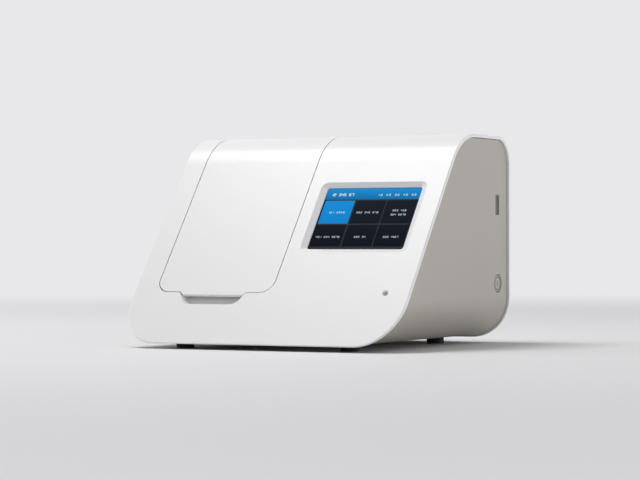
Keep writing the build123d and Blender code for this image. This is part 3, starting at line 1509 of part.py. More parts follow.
display_board_places = [
    (WINDOW_U + across * DISPLAY_BOARD_SIZE[0] * 0.42, WINDOW_V + up * DISPLAY_BOARD_SIZE[1] * 0.38)
    for across in (-1, 1)
    for up in (-1, 1)
]
bracket_width = MODULE_WIDTH + 2 * (DISPLAY_BOSS_GAP + 2 * DISPLAY_BOSS_RADIUS)
with BuildPart() as display_bracket:
    with BuildSketch(FRONT_PLANE.offset(-bracket_depth)):
        with Locations((WINDOW_U, WINDOW_V)):
            RectangleRounded(bracket_width, MODULE_HEIGHT, 3)
            Rectangle(MODULE_WIDTH * 0.6, MODULE_HEIGHT * 0.4, mode=Mode.SUBTRACT)
    extrude(amount=-BRACKET_THICKNESS)
    add(
        drills(
            FRONT_PLANE.offset(-bracket_depth),
            display_board_places,
            STANDOFF_RADIUS * 0.8,
            BRACKET_THICKNESS + DISPLAY_BOARD_GAP,
        )
    )
    add(
        drills(
            FRONT_PLANE.offset(-bracket_depth),
            display_bosses + display_board_places,
            SMALL_SCREW[0] + SCREW_FIT,
            BRACKET_THICKNESS + DISPLAY_BOARD_GAP,
        ),
        mode=Mode.SUBTRACT,
    )
save(display_bracket, "display_bracket")

with BuildPart() as display_board:
    add(
        board(
            FRONT_PLANE.offset(-display_board_depth),
            (WINDOW_U, WINDOW_V),
            DISPLAY_BOARD_SIZE,
            display_board_places,
        )
    )
save(display_board, "display_board")


def behind(depth):
    """Plane at a depth behind the front face that faces into the housing, with v reversed."""
    return Plane(
        origin=FRONT_PLANE.offset(-depth).origin,
        x_dir=(1, 0, 0),
        z_dir=(0, sin(SLANT), -cos(SLANT)),
    )


with BuildPart() as display_screws:
    add(
        screws(
            behind(bracket_depth + BRACKET_THICKNESS),
            [(u, -v) for u, v in display_bosses],
            SMALL_SCREW,
            BRACKET_THICKNESS + BOARD_SCREW_GRIP * 0.75,
        )
    )
    add(
        screws(
            behind(display_board_depth + BOARD_THICKNESS),
            [(u, -v) for u, v in display_board_places],
            SMALL_SCREW,
            BOARD_THICKNESS + DISPLAY_BOARD_GAP,
        )
    )
save(display_screws, "display_screws")

# Indicator: a light pipe in the dished hole, lit by a small board
with BuildPart() as indicator_lens:
    add(
        drills(
            FRONT_PLANE.offset(-INDICATOR_RECESS),
            [(INDICATOR_U, INDICATOR_V)],
            INDICATOR_RADIUS,
            INDICATOR_LENGTH,
        )
    )
    add(
        drills(
            FRONT_PLANE.offset(-WRAP_WALL),
            [(INDICATOR_U, INDICATOR_V)],
            INDICATOR_DISH_RADIUS,
            WRAP_WALL / 2,
        )
    )
save(indicator_lens, "indicator_lens")

with BuildPart() as indicator_board:
    add(
        board(
            FRONT_PLANE.offset(-indicator_board_depth),
            (INDICATOR_U, INDICATOR_V),
            INDICATOR_BOARD_SIZE,
            [],
            INDICATOR_BOARD_THICKNESS,
        )
    )
save(indicator_board, "indicator_board")

with BuildPart() as lid_sensor_board:
    add(
        board(
            FRONT_PLANE.offset(-DECK_DEPTH - DECK_WALL),
            (MAGNET_U, MAGNET_V),
            SENSOR_BOARD_SIZE,
            [],
            INDICATOR_BOARD_THICKNESS,
        )
    )
save(lid_sensor_board, "lid_sensor_board")

# Flat cables and the sockets that they plug into
display_cable_start = front_point(DISPLAY_CABLE_V, display_board_depth + BOARD_THICKNESS + PLUG_HEIGHT / 2)
display_cable_foot = (display_cable_start[0] - DISPLAY_CABLE_RUN * cos(SLANT), board_top + PLUG_HEIGHT)
display_cable_turn = (display_cable_foot[0], display_cable_start[1] - DISPLAY_CABLE_RUN * sin(SLANT))
with BuildPart() as display_cable:
    add(
        ribbon(
            Plane.YZ.offset(DISPLAY_CABLE_X),
            [display_cable_start, display_cable_turn, display_cable_foot],
            RIBBON_WIDTH,
        )
    )
save(display_cable, "display_cable")

optics_plug_x = OPTICS_BOARD_X + OPTICS_BOARD_SIZE[0] / 2 - PLUG_WIDTH / 2
optics_cable_end = MAIN_BOARD_LEFT + PLUG_WIDTH
with BuildPart() as optics_cable:
    add(
        ribbon(
            Plane.XZ.offset(-HOLDER_Y),
            [
                (optics_plug_x, optics_bottom + PLUG_HEIGHT),
                (optics_plug_x, OPTICS_CABLE_Z),
                (optics_cable_end, OPTICS_CABLE_Z),
                (optics_cable_end, board_top + PLUG_HEIGHT),
            ],
            RIBBON_WIDTH,
        )
    )
save(optics_cable, "optics_cable")

side_plug_x = io_board_x - BOARD_THICKNESS - PLUG_HEIGHT / 2
side_cable_end = main_board_right - PLUG_WIDTH
with BuildPart() as side_cable:
    add(
        ribbon(
            Plane.XZ.offset(-side_cable_y),
            [
                (side_plug_x, SIDE_PLUG_Z),
                (side_plug_x, SIDE_CABLE_Z),
                (side_cable_end, SIDE_CABLE_Z),
                (side_cable_end, board_top + PLUG_HEIGHT),
            ],
            RIBBON_WIDTH,
        )
    )
save(side_cable, "side_cable")

with BuildPart() as cable_sockets:
    for x, y, base in (
        (optics_plug_x, HOLDER_Y, optics_bottom),
        (optics_cable_end, HOLDER_Y, board_top),
        (side_cable_end, side_cable_y, board_top),
    ):
        with BuildSketch(Plane.XY.offset(base)):
            with Locations((x, y)):
                Rectangle(PLUG_WIDTH, RIBBON_WIDTH + 4)
        extrude(amount=PLUG_HEIGHT)
    with BuildSketch(Plane.XY.offset(board_top)):
        with Locations((DISPLAY_CABLE_X, display_cable_foot[0])):
            Rectangle(RIBBON_WIDTH + 4, PLUG_WIDTH)
    extrude(amount=PLUG_HEIGHT)
    with BuildSketch(Plane.YZ.offset(io_board_x - BOARD_THICKNESS)):
        with Locations((side_cable_y, SIDE_PLUG_Z + PLUG_WIDTH / 2)):
            Rectangle(RIBBON_WIDTH + 4, PLUG_WIDTH)
    extrude(amount=-PLUG_HEIGHT)
    with BuildSketch(behind(display_board_depth + BOARD_THICKNESS)):
        with Locations((DISPLAY_CABLE_X, -DISPLAY_CABLE_V - PLUG_WIDTH / 2)):
            Rectangle(RIBBON_WIDTH + 4, PLUG_WIDTH)
    extrude(amount=PLUG_HEIGHT)
save(cable_sockets, "cable_sockets")
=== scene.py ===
"""Benchtop molecular diagnostic analyzer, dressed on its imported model.

Lengths are in metres. +Z is up, +X is right and the slanted front faces -Y.
"""
import json
from math import cos, pi, radians, sin

import bpy
import numpy as np
from mathutils import Matrix


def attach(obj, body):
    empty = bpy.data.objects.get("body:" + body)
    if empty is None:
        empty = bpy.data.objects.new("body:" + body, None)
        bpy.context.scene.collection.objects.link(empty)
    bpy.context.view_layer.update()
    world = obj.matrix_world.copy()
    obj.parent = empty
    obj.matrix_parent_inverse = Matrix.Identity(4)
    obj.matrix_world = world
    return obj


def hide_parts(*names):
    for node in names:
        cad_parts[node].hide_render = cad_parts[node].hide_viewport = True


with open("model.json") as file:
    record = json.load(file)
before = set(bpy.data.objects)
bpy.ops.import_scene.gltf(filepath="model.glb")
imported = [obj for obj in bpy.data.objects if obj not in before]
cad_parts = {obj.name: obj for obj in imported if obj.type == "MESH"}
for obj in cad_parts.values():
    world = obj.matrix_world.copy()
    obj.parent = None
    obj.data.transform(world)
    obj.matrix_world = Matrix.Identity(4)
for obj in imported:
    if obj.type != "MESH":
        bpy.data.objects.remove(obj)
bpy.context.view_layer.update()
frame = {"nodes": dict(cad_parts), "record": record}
nodes = frame["nodes"]

MM = 0.001

# The front face: u runs across it, v up it from its lower edge, and w out of it
SLANT = radians(52.3)
FRONT_FOOT = np.array([0.0, -97.322, 3.6]) * MM
FRONT_ACROSS = np.array([1.0, 0.0, 0.0])
FRONT_UP = np.array([0.0, cos(SLANT), sin(SLANT)])
FRONT_OUT = np.array([0.0, -sin(SLANT), cos(SLANT)])

# The right side wall: u runs back along it, v up it, and w out of it
SIDE_FOOT = np.array([102.0, 0.0, 0.0]) * MM
SIDE_ALONG = np.array([0.0, 1.0, 0.0])
SIDE_UP = np.array([0.0, 0.0, 1.0])
SIDE_OUT = np.array([1.0, 0.0, 0.0])

# Screen: the glass lies this far behind the front face
GLASS_W = -3.1
PICTURE_LIFT = 0.04


def front(points):
    """Points (u, v, w) in millimetres on the front face, as points in the frame."""
    return FRONT_FOOT + MM * (
        points[..., :1] * FRONT_ACROSS + points[..., 1:2] * FRONT_UP + points[..., 2:] * FRONT_OUT
    )


def side(points):
    """Points (u, v, w) in millimetres on the right side wall, as points in the frame."""
    return SIDE_FOOT + MM * (
        points[..., :1] * SIDE_ALONG + points[..., 1:2] * SIDE_UP + points[..., 2:] * SIDE_OUT
    )


# Surfaces


def mesh_piece(name, points, faces, smooth=True):
    """New object whose mesh has these points and faces."""
    mesh = bpy.data.meshes.new(name)
    mesh.from_pydata(points.tolist(), [], faces)
    mesh.validate()
    mesh.polygons.foreach_set("use_smooth", [smooth] * len(mesh.polygons))
    piece = bpy.data.objects.new(name, mesh)
    bpy.context.scene.collection.objects.link(piece)
    return piece


def ring_faces(rings, around, first=0):
    """Quads between neighbouring rings of points, and a many-sided face on each end.

    Ring i holds points first + i * around onwards, counted the way that turns left
    about the direction in which the rings advance.
    """
    i, j = np.meshgrid(np.arange(rings - 1), np.arange(around), indexing="ij")
    ahead = (j + 1) % around
    quads = first + np.stack(
        [i * around + j, i * around + ahead, (i + 1) * around + ahead, (i + 1) * around + j], -1
    )
    faces = quads.reshape(-1, 4).tolist()
    faces.append((first + np.arange(around)[::-1]).tolist())
    faces.append((first + (rings - 1) * around + np.arange(around)).tolist())
    return faces


def rounded_outline(width, height, radius, around):
    """Closed outline of a rounded rectangle: four corner centres, each with its quarter circle."""
    turn = (np.arange(around) + 0.5) / around * 2 * pi
    x = (width / 2 - radius) * np.sign(np.cos(turn)) + radius * np.cos(turn)
    y = (height / 2 - radius) * np.sign(np.sin(turn)) + radius * np.sin(turn)
    return np.stack([x, y], -1)


def plates(name, place, rows, steps, around=24, smooth=True):
    """Rounded plates: each outline is carried up through the steps, drawn in at each one.

    A row is (u, v, width, height, radius), and a step is (how far in, height above the face).
    """
    points = []
    faces = []
    for u, v, width, height, radius in rows:
        first = len(points) * around
        for inset, rise in steps:
            outline = rounded_outline(
                width - 2 * inset, height - 2 * inset, max(radius - inset, 0.01), around
            )
            ring = np.column_stack([outline + (u, v), np.full(around, rise)])
            points.append(ring)
        faces += ring_faces(len(steps), around, first)
    return mesh_piece(name, place(np.concatenate(points)), faces, smooth)


def closed_bands(name, place, paths, section):
    """Flat bands: a closed section (across, lift) is carried round each closed path of (u, v, w).

    Across is measured at right angles to the path in the face, and lift out of the face.
    """
    points = []
    faces = []
    count = 0
    section = np.array(section, float)
    size = len(section)
    corner = np.arange(size)
    following = (corner + 1) % size
    for path in paths:
        ahead = np.roll(path, -1, 0) - np.roll(path, 1, 0)
        ahead[:, 2] = 0
        ahead /= np.linalg.norm(ahead, axis=1)[:, None]
        across = np.stack([ahead[:, 1], -ahead[:, 0], np.zeros(len(path))], -1)
        rings = (
            path[:, None]
            + section[None, :, :1] * across[:, None]
            + section[None, :, 1:] * np.array([0.0, 0.0, 1.0])
        )
        last = count + (len(path) - 1) * size
        seam = np.stack([last + corner, last + following, count + following, count + corner], -1)
        faces += ring_faces(len(path), size, count)[:-2] + seam.tolist()
        points.append(rings.reshape(-1, 3))
        count += len(path) * size
    return mesh_piece(name, place(np.concatenate(points)), faces, smooth=False)


def dress(piece, body, material, replaced=()):
    """Gives a piece its body and its finish, and hides the nodes it stands for."""
    piece.data.materials.append(material)
    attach(piece, body)
    if replaced:
        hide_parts(*replaced)
    return piece


# Finishes


def shade(red, green, blue):
    """Linear colour of a colour that is given as it looks, from 0 to 255."""
    seen = np.array([red, green, blue]) / 255
    linear = np.where(seen <= 0.04045, seen / 12.92, ((seen + 0.055) / 1.055) ** 2.4)
    return (*linear.tolist(), 1.0)


class Tree:
    """Short ways to add and link the nodes of a material or a node group."""

    def __init__(self, tree):
        self.tree = tree

    def add(self, kind, **settings):
        node = self.tree.nodes.new(kind)
        for name, value in settings.items():
            setattr(node, name, value)
        return node

    def feed(self, node, **inputs):
        """Sets or links inputs, whose names are written with _ for a space."""
        for name, value in inputs.items():
            socket = node.inputs[name.replace("_", " ")]
            if isinstance(value, bpy.types.NodeSocket):
                self.tree.links.new(value, socket)
            else:
                socket.default_value = value
        return node

    def math(self, operation, first, second=0.0, third=0.0, clamp=False):
        node = self.add("ShaderNodeMath", operation=operation, use_clamp=clamp)
        for socket, value in zip(node.inputs, (first, second, third)):
            if isinstance(value, bpy.types.NodeSocket):
                self.tree.links.new(value, socket)
            else:
                socket.default_value = value
        return node.outputs[0]

    def mix(self, factor, first, second):
        node = self.add("ShaderNodeMix", data_type="RGBA")
        for socket, value in zip((node.inputs[0], node.inputs[6], node.inputs[7]), (factor, first, second)):
            if isinstance(value, bpy.types.NodeSocket):
                self.tree.links.new(value, socket)
            else:
                socket.default_value = value
        return node.outputs[2]


def node_group(name, inputs, outputs):
    """Empty node group with named inputs and outputs."""
    group = bpy.data.node_groups.new(name, "ShaderNodeTree")
    for label, kind, value in inputs:
        socket = group.interface.new_socket(label, in_out="INPUT", socket_type=kind)
        socket.default_value = value
    for label, kind in outputs:
        group.interface.new_socket(label, in_out="OUTPUT", socket_type=kind)
    tree = Tree(group)
    return group, tree, tree.add("NodeGroupInput"), tree.add("NodeGroupOutput")


def moulded_group():
    """Moulded plastic: spark-eroded grain, slow drift of the shade and faint handling marks."""
    group, tree, given, result = node_group(
        "moulded_surface",
        [
            ("Shade", "NodeSocketColor", (0.8, 0.8, 0.8, 1.0)),
            ("Drift", "NodeSocketFloat", 0.03),
            ("Grain Scale", "NodeSocketFloat", 2500.0),
            ("Roughness", "NodeSocketFloat", 0.35),
            ("Handling", "NodeSocketFloat", 0.05),
        ],
        [("Color", "NodeSocketColor"), ("Roughness", "NodeSocketFloat"), ("Height", "NodeSocketFloat")],
    )
    place = tree.add("ShaderNodeTexCoord").outputs["Object"]
    slow = tree.feed(tree.add("ShaderNodeTexNoise"), Vector=place, Scale=14.0, Detail=3.0)
    swing = tree.math("SUBTRACT", slow.outputs["Fac"], 0.5)
    lift = tree.math("MULTIPLY_ADD", swing, given.outputs["Drift"], 1.0)
    tint = tree.add("ShaderNodeVectorMath", operation="SCALE")
    tree.tree.links.new(given.outputs["Shade"], tint.inputs[0])
    tree.tree.links.new(lift, tint.inputs["Scale"])
    grain = tree.feed(
        tree.add("ShaderNodeTexNoise"), Vector=place, Scale=given.outputs["Grain Scale"], Detail=2.0
    )
    smudge = tree.feed(
        tree.add("ShaderNodeTexNoise"), Vector=place, Scale=55.0, Detail=6.0, Roughness=0.65
    )
    worn = tree.add("ShaderNodeMapRange", interpolation_type="SMOOTHSTEP")
    tree.feed(worn, Value=smudge.outputs["Fac"], **{"From Min": 0.45, "From Max": 0.7})
    rub = tree.math("MULTIPLY", worn.outputs["Result"], given.outputs["Handling"])
    fine = tree.math("SUBTRACT", grain.outputs["Fac"], 0.5)
    rough = tree.math("MULTIPLY_ADD", fine, 0.06, given.outputs["Roughness"])
    tree.feed(
        result,
        Color=tint.outputs["Vector"],
        Roughness=tree.math("ADD", rough, rub, clamp=True),
        Height=grain.outputs["Fac"],
    )
    return group


def metal_group():
    """Rolled or turned metal: fine scratches along one direction and a cloudy shade."""
    group, tree, given, result = node_group(
        "worked_metal",
        [
            ("Shade", "NodeSocketColor", (0.6, 0.6, 0.6, 1.0)),
            ("Stretch", "NodeSocketFloat", 12.0),
            ("Roughness", "NodeSocketFloat", 0.3),
        ],
        [("Color", "NodeSocketColor"), ("Roughness", "NodeSocketFloat"), ("Height", "NodeSocketFloat")],
    )
    place = tree.add("ShaderNodeTexCoord").outputs["Object"]
    split = tree.feed(tree.add("ShaderNodeSeparateXYZ"), Vector=place)
    along = tree.math("DIVIDE", split.outputs["X"], given.outputs["Stretch"])
    drawn = tree.feed(
        tree.add("ShaderNodeCombineXYZ"), X=along, Y=split.outputs["Y"], Z=split.outputs["Z"]
    )
    lines = tree.feed(tree.add("ShaderNodeTexNoise"), Vector=drawn.outputs[0], Scale=3500.0, Detail=3.0)
    cloud = tree.feed(tree.add("ShaderNodeTexNoise"), Vector=place, Scale=160.0, Detail=4.0)
    lift = tree.math("MULTIPLY_ADD", tree.math("SUBTRACT", cloud.outputs["Fac"], 0.5), 0.25, 1.0)
    tint = tree.add("ShaderNodeVectorMath", operation="SCALE")
    tree.tree.links.new(given.outputs["Shade"], tint.inputs[0])
    tree.tree.links.new(lift, tint.inputs["Scale"])
    spread = tree.math("SUBTRACT", lines.outputs["Fac"], 0.5)
    tree.feed(
        result,
        Color=tint.outputs["Vector"],
        Roughness=tree.math("MULTIPLY_ADD", spread, 0.3, given.outputs["Roughness"], clamp=True),
        Height=lines.outputs["Fac"],
    )
    return group


MOULDED = moulded_group()
METAL = metal_group()


def new_material(name):
    """Material with a Principled shader, its tree and the shader."""
    material = bpy.data.materials.new(name)
    material.use_nodes = True
    tree = Tree(material.node_tree)
    shader = material.node_tree.nodes["Principled BSDF"]
    return material, tree, shader


def grouped(tree, group, **inputs):
    """Places a group in a material and sets its inputs."""
    node = tree.add("ShaderNodeGroup", node_tree=group)
    return tree.feed(node, **inputs)


def bumped(tree, shader, height, strength, distance):
    """Leads a height through a Bump node into the shader's normal."""
    bump = tree.feed(tree.add("ShaderNodeBump"), Height=height, Strength=strength, Distance=distance)
    tree.feed(shader, Normal=bump.outputs["Normal"])


def moulded(name, look, rough=0.35, drift=0.03, grain=2500.0, depth=0.15, handling=0.05, **own):
    """Moulded plastic or rubber in one shade."""
    material, tree, shader = new_material(name)
    made = grouped(
        tree,
        MOULDED,
        Shade=shade(*look),
        Drift=drift,
        Grain_Scale=grain,
        Roughness=rough,
        Handling=handling,
    )
    tree.feed(shader, Base_Color=made.outputs["Color"], Roughness=made.outputs["Roughness"], **own)
    bumped(tree, shader, made.outputs["Height"], depth, 0.00002)
    return material


def worked(name, look, rough=0.3, stretch=12.0, depth=0.1):
    """Bare metal in one shade."""
    material, tree, shader = new_material(name)
    made = grouped(tree, METAL, Shade=shade(*look), Stretch=stretch, Roughness=rough)
    tree.feed(
        shader,
        Base_Color=made.outputs["Color"],
        Roughness=made.outputs["Roughness"],
        Metallic=1.0,
    )
    bumped(tree, shader, made.outputs["Height"], depth, 0.00001)
    return material


def lit(name, top, bottom, v_low, v_high, glow=0.9):
    """Part of the lit picture, its colour running from bottom to top between two heights v."""
    material, tree, shader = new_material(name)
    place = tree.add("ShaderNodeTexCoord").outputs["Object"]
    split = tree.feed(tree.add("ShaderNodeSeparateXYZ"), Vector=place)
    low, high = (front(np.array([0.0, v, GLASS_W]))[2] for v in (v_low, v_high))
    rise = tree.add("ShaderNodeMapRange")
    tree.feed(rise, Value=split.outputs["Z"], **{"From Min": float(low), "From Max": float(high)})
    run = tree.mix(rise.outputs["Result"], shade(*bottom), shade(*top))
    cells = tree.feed(tree.add("ShaderNodeTexNoise"), Vector=place, Scale=700.0, Detail=1.0)
    flicker = tree.math("MULTIPLY_ADD", cells.outputs["Fac"], 0.08, glow - 0.04)
    glowing = tree.add("ShaderNodeVectorMath", operation="SCALE")
    tree.tree.links.new(run, glowing.inputs[0])
    tree.tree.links.new(flicker, glowing.inputs["Scale"])
    tree.feed(
        shader,
        Base_Color=(0.004, 0.004, 0.005, 1.0),
        Roughness=0.4,
        Specular_IOR_Level=0.0,
        Emission_Color=glowing.outputs["Vector"],
        Emission_Strength=1.0,
    )
    return material


def board_material():
    """Green board: copper tracks under the solder mask, on a grid that follows the board."""
    material, tree, shader = new_material("circuit_board")
    place = tree.add("ShaderNodeTexCoord").outputs["Object"]
    cells = tree.add("ShaderNodeTexVoronoi", distance="CHEBYCHEV", feature="F1")
    tree.feed(cells, Vector=place, Scale=380.0, Randomness=0.75)
    edge = tree.add("ShaderNodeTexVoronoi", distance="CHEBYCHEV", feature="F2")
    tree.feed(edge, Vector=place, Scale=380.0, Randomness=0.75)
    gap = tree.math("SUBTRACT", edge.outputs["Distance"], cells.outputs["Distance"])
    track = tree.math("LESS_THAN", gap, 0.12)
    colour = tree.mix(track, shade(18, 84, 48), shade(32, 118, 66))
    tree.feed(shader, Base_Color=colour, Roughness=0.32)
    bumped(tree, shader, track, 0.3, 0.00003)
    return material


def ribbon_material():
    """Flat cable: pale film over dark conductors that run side by side."""
    material, tree, shader = new_material("flat_cable")
    place = tree.add("ShaderNodeTexCoord").outputs["Object"]
    split = tree.feed(tree.add("ShaderNodeSeparateXYZ"), Vector=place)
    wave = tree.math("SINE", tree.math("MULTIPLY", split.outputs["X"], 2 * pi / (1.0 * MM)))
    line = tree.math("GREATER_THAN", wave, 0.1)
    colour = tree.mix(line, shade(226, 226, 220), shade(182, 186, 190))
    tree.feed(shader, Base_Color=colour, Roughness=0.38)
    bumped(tree, shader, wave, 0.3, 0.00003)
    return material


def film_material():
    """Amber heater film with a darker winding inside."""
    material, tree, shader = new_material("heater_film")
    place = tree.add("ShaderNodeTexCoord").outputs["Object"]
    turns = tree.add("ShaderNodeTexWave", wave_type="BANDS", bands_direction="Y")
    tree.feed(turns, Vector=place, Scale=90.0, Distortion=1.5)
    dark = tree.math("GREATER_THAN", turns.outputs["Fac"], 0.6)
    colour = tree.mix(dark, shade(206, 122, 38), shade(120, 62, 20))
    tree.feed(shader, Base_Color=colour, Roughness=0.25, Coat_Weight=0.4)
    return material


def clear_material(name, tint, rough):
    """Clear moulded or ground glass with a faint haze."""
    material, tree, shader = new_material(name)
    place = tree.add("ShaderNodeTexCoord").outputs["Object"]
    haze = tree.feed(tree.add("ShaderNodeTexNoise"), Vector=place, Scale=900.0, Detail=2.0)
    spread = tree.math("MULTIPLY_ADD", haze.outputs["Fac"], 0.08, rough)
    tree.feed(
        shader,
        Base_Color=shade(*tint),
        Roughness=spread,
        IOR=1.49,
        **{"Transmission Weight": 0.85},
    )
    return material


hood_white = moulded("hood_white", (238, 238, 239), rough=0.30, drift=0.02, depth=0.10, handling=0.04)
side_grey = moulded("side_grey", (172, 168, 160), rough=0.42, drift=0.03, grain=1800.0, depth=0.25)
liner_grey = moulded("liner_grey", (212, 213, 214), rough=0.5, grain=1500.0, depth=0.3)
deck_grey = moulded("deck_grey", (122, 126, 130), rough=0.55, grain=1500.0, depth=0.3)
holder_orange = moulded("holder_orange", (236, 118, 30), rough=0.38, depth=0.2)
holder_blue = moulded("holder_blue", (28, 104, 186), rough=0.38, depth=0.2)
black_plastic = moulded("black_plastic", (30, 30, 32), rough=0.5, depth=0.3)
optics_black = moulded("optics_black", (22, 22, 23), rough=0.7, depth=0.35)
ivory_plastic = moulded("ivory_plastic", (226, 222, 206), rough=0.45)
foam_black = moulded("foam_black", (26, 26, 27), rough=0.9, grain=900.0, depth=0.8)
foot_rubber = moulded("foot_rubber", (34, 34, 35), rough=0.82, grain=1200.0, depth=0.6, handling=0.1)
screen_glass = moulded(
    "screen_glass", (7, 8, 10), rough=0.1, drift=0.0, depth=0.0, handling=0.03, Specular_IOR_Level=0.03
)
# Dark print on the button, also used for the ring of painted shade along the button's gap
print_and_gap_shade_grey = moulded("print_and_gap_shade_grey", (34, 34, 33), rough=0.5)
port_grey = moulded("port_grey", (104, 100, 92), rough=0.5)
steel = worked("steel", (186, 186, 188), rough=0.32)
port_steel = worked("port_steel", (176, 178, 182), rough=0.24, stretch=6.0)
plated = worked("plated", (214, 214, 214), rough=0.12, stretch=3.0)
aluminium = worked("aluminium", (204, 206, 208), rough=0.36, stretch=20.0, depth=0.2)
green_board = board_material()
flat_cable = ribbon_material()
heater_film = film_material()
lens_glass = clear_material("lens_glass", (236, 242, 246), 0.01)
lamp_clear = clear_material("lamp_clear", (226, 230, 232), 0.2)

by_slot = {
    "hood_white": hood_white,
    "side_grey": side_grey,
    "liner_grey": liner_grey,
    "deck_grey": deck_grey,
    "holder_orange": holder_orange,
    "holder_blue": holder_blue,
    "steel": steel,
    "chrome": plated,
    "aluminium": aluminium,
    "heater_film": heater_film,
    "optics_black": optics_black,
    "lens_glass": lens_glass,
    "board_green": green_board,
    "part_black": black_plastic,
    "plug_white": ivory_plastic,
    "gasket_black": foam_black,
    "screen_glass": screen_glass,
    "button_grey": side_grey,
    "cable_white": flat_cable,
    "foot_rubber": foot_rubber,
    "indicator_clear": lamp_clear,
}
slot_of = {row["node"]: row["material_slot"] for row in frame["record"]["subparts"]}
for node_name, node in nodes.items():
    finish = by_slot[slot_of[node_name]]
    for held in node.material_slots:
        held.material = finish
for node_name in ("side_usb_port", "rear_usb_ports"):
    for held in nodes[node_name].material_slots:
        held.material = port_steel


# Screen: glass with its lit picture

TILE_WIDTH = 22.3
TILE_COLUMNS = (27.9, 51.4, 74.5)
ROW_TOP = 113.2
ROW_TOP_HEIGHT = 19.6
ROW_LOW = 93.1
ROW_LOW_HEIGHT = 18.2
HEADER = (50.8, 128.7, 71.2, 9.4, 0.3)
PICTURE_STEPS = [(0.0, GLASS_W), (0.0, GLASS_W + PICTURE_LIFT)]


def tile_row(columns, v, height):
    """Rows of the plates function for the tiles in these columns."""
    return [(u, v, TILE_WIDTH, height, 0.25) for u in columns]


header_blue = lit("header_blue", (34, 148, 214), (14, 116, 176), 124.0, 133.4)
tile_blue = lit("tile_blue", (24, 146, 226), (16, 138, 214), 103.4, 123.0)
tile_dark = lit("tile_dark", (27, 33, 42), (15, 22, 31), 84.0, 123.0)
picture_white = lit("picture_white", (226, 236, 244), (226, 236, 244), 84.0, 133.0)
picture_dim = lit("picture_dim", (196, 208, 220), (186, 200, 212), 84.0, 123.0)

# Numerals: strokes of each one, and the middle of each stroke in halves of width and height
NUMERALS = {
    "0": "abcdef",
    "1": "bc",
    "2": "abdeg",
    "3": "abcdg",
    "4": "bcfg",
    "5": "acdfg",
    "6": "acdefg",
    "7": "abc",
    "8": "abcdefg",
    "9": "abcdfg",
}
STROKES = {
    "a": (0.0, 1.0),
    "b": (1.0, 0.5),
    "c": (1.0, -0.5),
    "d": (0.0, -1.0),
    "e": (-1.0, -0.5),
    "f": (-1.0, 0.5),
    "g": (0.0, 0.0),
}
PRINT_STEPS = [(0.0, GLASS_W + PICTURE_LIFT - 0.01), (0.0, GLASS_W + 2 * PICTURE_LIFT)]


def numeral_rows(text, left, right, v, height):
    """Rows of the plates function for a line of numerals that fills a stretch of the face."""
    pitch = (right - left) / len(text)
    line = 0.2 * height
    half_wide = min(0.27 * height, 0.36 * pitch)
    half_high = (height - line) / 2
    rows = []
    for place, numeral in enumerate(text):
        for stroke in NUMERALS.get(numeral, ""):
            across, up = STROKES[stroke]
            upright = across != 0.0
            size = (line, half_high) if upright else (2 * half_wide, line)
            middle = left + (place + 0.5) * pitch
            rows.append((middle + across * half_wide, v + up * half_high, *size, 0.05))
    return rows


def picture(name, rows, steps, material, around=24):
    """Flat pieces of the lit picture, just above the glass."""
    piece = plates(name, front, rows, steps, around=around, smooth=False)
    return dress(piece, "housing", material)


picture("picture_header", [HEADER], PICTURE_STEPS, header_blue)
picture("picture_tile_chosen", tile_row(TILE_COLUMNS[:1], ROW_TOP, ROW_TOP_HEIGHT), PICTURE_STEPS, tile_blue)
picture(
    "picture_tiles",
    tile_row(TILE_COLUMNS[1:], ROW_TOP, ROW_TOP_HEIGHT) + tile_row(TILE_COLUMNS, ROW_LOW, ROW_LOW_HEIGHT),
    PICTURE_STEPS,
    tile_dark,
)
# Lines of numerals: (text, left, right, height v of the middle, height of a numeral)
LABEL = 1.5
BRIGHT_LINES = [
    ("12 345 67", 19.3, 36.7, 128.2, 2.4),
    ("10 20 30 40 50", 54.4, 83.7, 127.7, 1.6),
    ("101 2345", 21.5, 34.4, 112.9, LABEL),
]
DIM_LINES = [
    ("202 345 678", 42.9, 59.6, 112.8, LABEL),
    ("303 456", 69.3, 80.0, 114.3, LABEL),
    ("304 5678", 68.8, 80.4, 110.8, LABEL),
    ("401 234 5678", 18.7, 36.8, 92.0, LABEL),
    ("502 34", 47.3, 56.2, 92.0, LABEL),
    ("603 4567", 68.8, 80.4, 92.0, LABEL),
]
for lines, piece_name, finish in (
    (BRIGHT_LINES, "picture_numerals_bright", picture_white),
    (DIM_LINES, "picture_numerals_dim", picture_dim),
):
    rows = [row for line in lines for row in numeral_rows(*line)]
    picture(piece_name, rows, PRINT_STEPS, finish, around=8)


# Right side: tongue of the port, the print of the button, and a painted shade ring for the gap round the
# button

PORT_U = 76.9
PORT_V = 96.9
BUTTON_U = 77.7
BUTTON_V = 42.0
BUTTON_W = -0.2
TONGUE_SIZE = (6.2, 13.2)
TONGUE_RADIUS = 0.4
TONGUE_BACK = -8.0
TONGUE_FACE = -0.7
TONGUE_BEVEL = 0.3
# Inner radius: the printed standby ring. Outer radius: painted shade, a dark ring where the gap round the
# button falls in shadow
PRINT_AND_GAP_SHADE_RADII = (4.4, 5.85)
RING_HALF = 0.3
BAR_SIZE = (0.7, 4.2)
BAR_RADIUS = 0.3
PRINT_HEIGHT = 0.04


def circle_path(u, v, w, radius, around=64):
    """Closed path round a centre, as points (u, v, w)."""
    angle = np.arange(around) / around * 2 * pi
    return np.stack([u + radius * np.cos(angle), v + radius * np.sin(angle), np.full(around, w)], -1)


